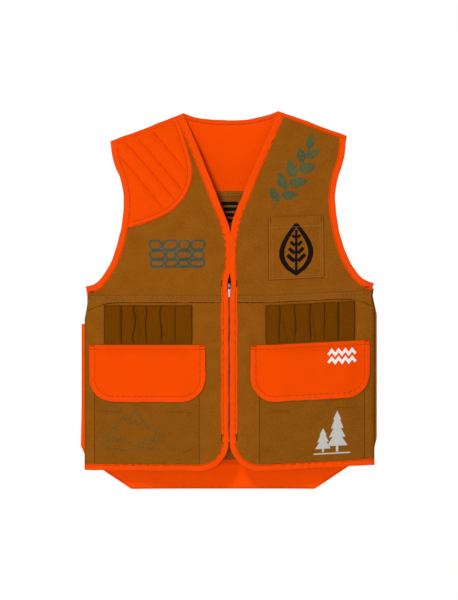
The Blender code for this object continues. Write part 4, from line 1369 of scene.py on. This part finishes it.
def pebble(x, z, across, up, lean=0.0):
    """A rounded box round x, z, as an open line that all but closes."""
    made = []
    for k in range(20):
        turn = 2 * math.pi * k / 20 + 0.02
        c, d = math.cos(turn), math.sin(turn)
        reach = 1 / (abs(c) ** 3.2 + abs(d) ** 3.2) ** (1 / 3.2)
        made.append((x + across * c * reach + lean * up * d, z + up * d * reach))
    return [*made, (made[0][0], made[0][1] - 0.05)]


def tree(x, z, height, width, tiers=4):
    """A fir tree on its foot at x, z."""
    right = [Vector((x + width * 0.06, z)), Vector((x + width * 0.06, z + height * 0.14))]
    for k in range(tiers):
        low, high = 0.14 + 0.86 * k / tiers, 0.14 + 0.86 * (k + 1) / tiers
        reach = width / 2 * (1 - 0.82 * k / tiers)
        right.append(Vector((x + reach, z + height * low)))
        if k < tiers - 1:
            right.append(Vector((x + reach * 0.45, z + height * high)))
    left = [Vector((2 * x - p.x, p.y)) for p in reversed(right)]
    return [*right, Vector((x, z + height)), *left]


SPRIG_STEM = [(82, -186), (98, -160), (116, -134), (136, -104), (150, -72)]
SPRIG_LEAVES = [
    # place, length, width and turn
    (92, -170, 30, 12, 118), (98, -160, 32, 13, 2), (106, -148, 34, 14, 112), (113, -138, 36, 15, 8),
    (122, -126, 34, 15, 108), (130, -113, 36, 15, 12), (138, -100, 30, 13, 106), (143, -88, 30, 13, 18),
    (148, -76, 30, 13, 74),
]
PEBBLE_ROWS = [
    # height, half the pebbles' height, and their widths
    (-252, 8.2, (24, 19, 27, 22)), (-271, 6.8, (19, 26, 17, 28)), (-287, 5.6, (25, 18, 22, 25)),
]
POCKET_LEAF = (127, -262)
RIDGE_LINES = [
    [(128, -618), (146, -596), (154, -604), (178, -566), (194, -588), (204, -578), (228, -610), (246, -622)],
    [(164, -588), (174, -596), (180, -586), (188, -594)],
    [(120, -630), (150, -624), (180, -632), (214, -625), (250, -633)],
    [(134, -642), (166, -637), (196, -644), (236, -638)],
]


def make_prints():
    chest = chest_top(1)
    shapes = [ribbon(smooth(SPRIG_STEM, 5), 2.4)]
    for x, z, length, width, turn in SPRIG_LEAVES:
        shapes.append(leaf(x, z, length * 1.05, width * 1.35, turn))
    print_on("sprig_print", shapes, chest, "green_ink", "left_front")

    bands = []
    for row, (z, half, widths) in enumerate(PEBBLE_ROWS):
        x = 50.0 + 1.5 * (row % 2)
        for width in widths:
            bands.append(ribbon(pebble(x + width / 2, z, width / 2, half, 0.15 * math.sin(3 * x)), 3.1))
            x += width + 3.4
        under = [(a, z - half - drop) for a, drop in ((50, 1.4), (90, 2.4), (130, 1.4), (150, 2))]
        bands.append(ribbon(under, 2.2))
    print_on("pebble_print", bands, chest_top(-1), "teal_ink", "right_front", side=-1)

    centre_x, centre_z = POCKET_LEAF
    outline = leaf(centre_x, centre_z - 52, 104, 66, 90)
    inner = leaf(centre_x, centre_z - 43, 84, 46, 90)
    half = len(outline) // 2
    marks = [outline[:half + 1] + inner[:half + 1][::-1],
             [*outline[half:], outline[0], inner[0], *inner[half:][::-1]],
             ribbon([(centre_x, centre_z - 43), (centre_x, centre_z + 36)], 5.0)]
    for k in range(4):
        z, reach = centre_z - 24 + 15 * k, 17 - 3.2 * k
        for way in (-1, 1):
            vein = [(centre_x + way * 3.2, z), (centre_x + way * reach, z + reach * 0.75)]
            marks.append(ribbon(vein, 7.5 - 0.8 * k))
    print_on("leaf_print", marks, lambda x, z: over_hem(x, z, 0.85), "black_ink", "left_front", spacing=2.6)

    zigzags = []
    for row in range(2):
        line = [(188 + 6.5 * k, -463 - 15 * row + (4.2 if k % 2 else -4.2)) for k in range(9)]
        zigzags.append(ribbon(line, 5.2))
    print_on("zigzag_print", zigzags, flap_top, "white_ink", "left_flap", lift=0.3)

    trees = [tree(205, -652, 78, 40), tree(178, -652, 46, 30, 3), ribbon([(160, -655), (230, -655)], 2.4)]
    print_on("tree_print", trees, pocket_top, "grey_ink", "left_front", lift=0.3)

    lines = [ribbon(line, 1.3 if k else 1.5) for k, line in enumerate(RIDGE_LINES)]
    lines.append(ribbon(pebble(226, -566, 10, 10), 1.3))
    for x, z, size in ((140, -628, 20), (214, -622, 24), (236, -626, 17)):
        sides = [(x - size * 0.3, z), (x, z + size), (x + size * 0.3, z), (x - size * 0.26, z)]
        lines.append(ribbon(sides, 1.2))
    print_on("ridge_print", lines, pocket_top, "line_ink", "right_front", side=-1, lift=0.3, spacing=2.5)

    bars = [box_outline((-16, 16), (-168 - 11 * k, -175 - 11 * k)) for k in range(4)]
    print_on("inner_print", bars, lambda x, z: 0 * x, "black_ink", "back", face="back", under=True)


# ---------------------------------------------------------------- stage


def area_light(name, place, target, size, power):
    light = bpy.data.lights.new(name, "AREA")
    light.shape = "DISK"
    light.size = size
    light.energy = power
    obj = bpy.data.objects.new(name, light)
    obj.location = place
    obj.rotation_euler = (Vector(target) - Vector(place)).to_track_quat("-Z", "Y").to_euler()
    bpy.context.scene.collection.objects.link(obj)


FLOOR_Z, FLOOR_RADIUS, FLOOR_SIDES = -1.2, 2.2, 64
VIEW_HEIGHT, LENS, SENSOR = 1.14, 120, 24
FRONT_Y = -0.035  # where the view is VIEW_HEIGHT high


def make_stage():
    scene = bpy.context.scene
    scene.view_settings.view_transform = "Standard"
    world = bpy.data.worlds.new("studio")
    scene.world = world
    world.use_nodes = True
    nodes, links = world.node_tree.nodes, world.node_tree.links
    soft = add(nodes, "Background", Strength=0.33, Color=(0.97, 0.985, 1.0, 1))
    white = add(nodes, "Background", Color=(1, 1, 1, 1))
    path, mix = add(nodes, "LightPath"), add(nodes, "MixShader")
    links.new(path.outputs["Is Camera Ray"], mix.inputs[0])
    links.new(soft.outputs[0], mix.inputs[1])
    links.new(white.outputs[0], mix.inputs[2])
    links.new(mix.outputs[0], nodes["World Output"].inputs["Surface"])
    for word, way in (("front", -1), ("back", 1)):
        area_light(f"key_{word}", (1.3 * way, 3.4 * way, 1.7), (0, 0, -0.35), 0.7, 59)
        area_light(f"fill_{word}", (0.5 * way, 5.2 * way, -0.75), (0, 0, -0.4), 1.6, 137)
    floor_mesh = bpy.data.meshes.new("floor")
    turns = [2 * math.pi * k / FLOOR_SIDES for k in range(FLOOR_SIDES)]
    rim = [(FLOOR_RADIUS * math.cos(turn), FLOOR_RADIUS * math.sin(turn), FLOOR_Z) for turn in turns]
    floor_mesh.from_pydata(rim, [], [tuple(range(FLOOR_SIDES))])
    floor = bpy.data.objects.new("floor", floor_mesh)
    scene.collection.objects.link(floor)
    made, nodes, links, shader = shader_of("floor")
    grain = add(nodes, "TexNoise", Scale=40)
    shade = add(nodes, "MapRange", To_Min=0.86, To_Max=0.90)
    links.new(grain.outputs["Fac"], shade.inputs["Value"])
    links.new(shade.outputs[0], shader.inputs["Base Color"])
    fill(shader, Roughness=0.9)
    floor_mesh.materials.append(made)
    camera_data = bpy.data.cameras.new("camera")
    camera_data.sensor_fit = "VERTICAL"
    camera_data.sensor_height = SENSOR
    camera_data.lens = LENS
    camera = bpy.data.objects.new("camera", camera_data)
    camera.location = (-0.001, FRONT_Y - VIEW_HEIGHT * LENS / SENSOR, -0.357)
    camera.rotation_euler = (math.radians(90), 0, 0)
    scene.collection.objects.link(camera)
    scene.camera = camera


def main():
    make_stage()
    make_back()
    for side, word in ((-1, "right"), (1, "left")):
        make_chest(side, word)
        make_lower_front(side, word)
        make_pocket(side, word)
        make_flap(side, word)
        make_shell_loops(side, word)
        make_zip(side, word)
    make_chest_pocket()
    make_recoil_pad()
    make_slider()
    make_bag()
    make_prints()
    make_threads()
    # the zip's stops, pin and box are shown as the CAD has them
    looks = {"zip_metal": "dark_metal", "zip_teeth": "zip_teeth"}
    for part in frame["record"]["subparts"]:
        if part["material_slot"] in looks:
            frame["nodes"][part["node"]].material_slots[0].material = MATERIALS[looks[part["material_slot"]]]


main()
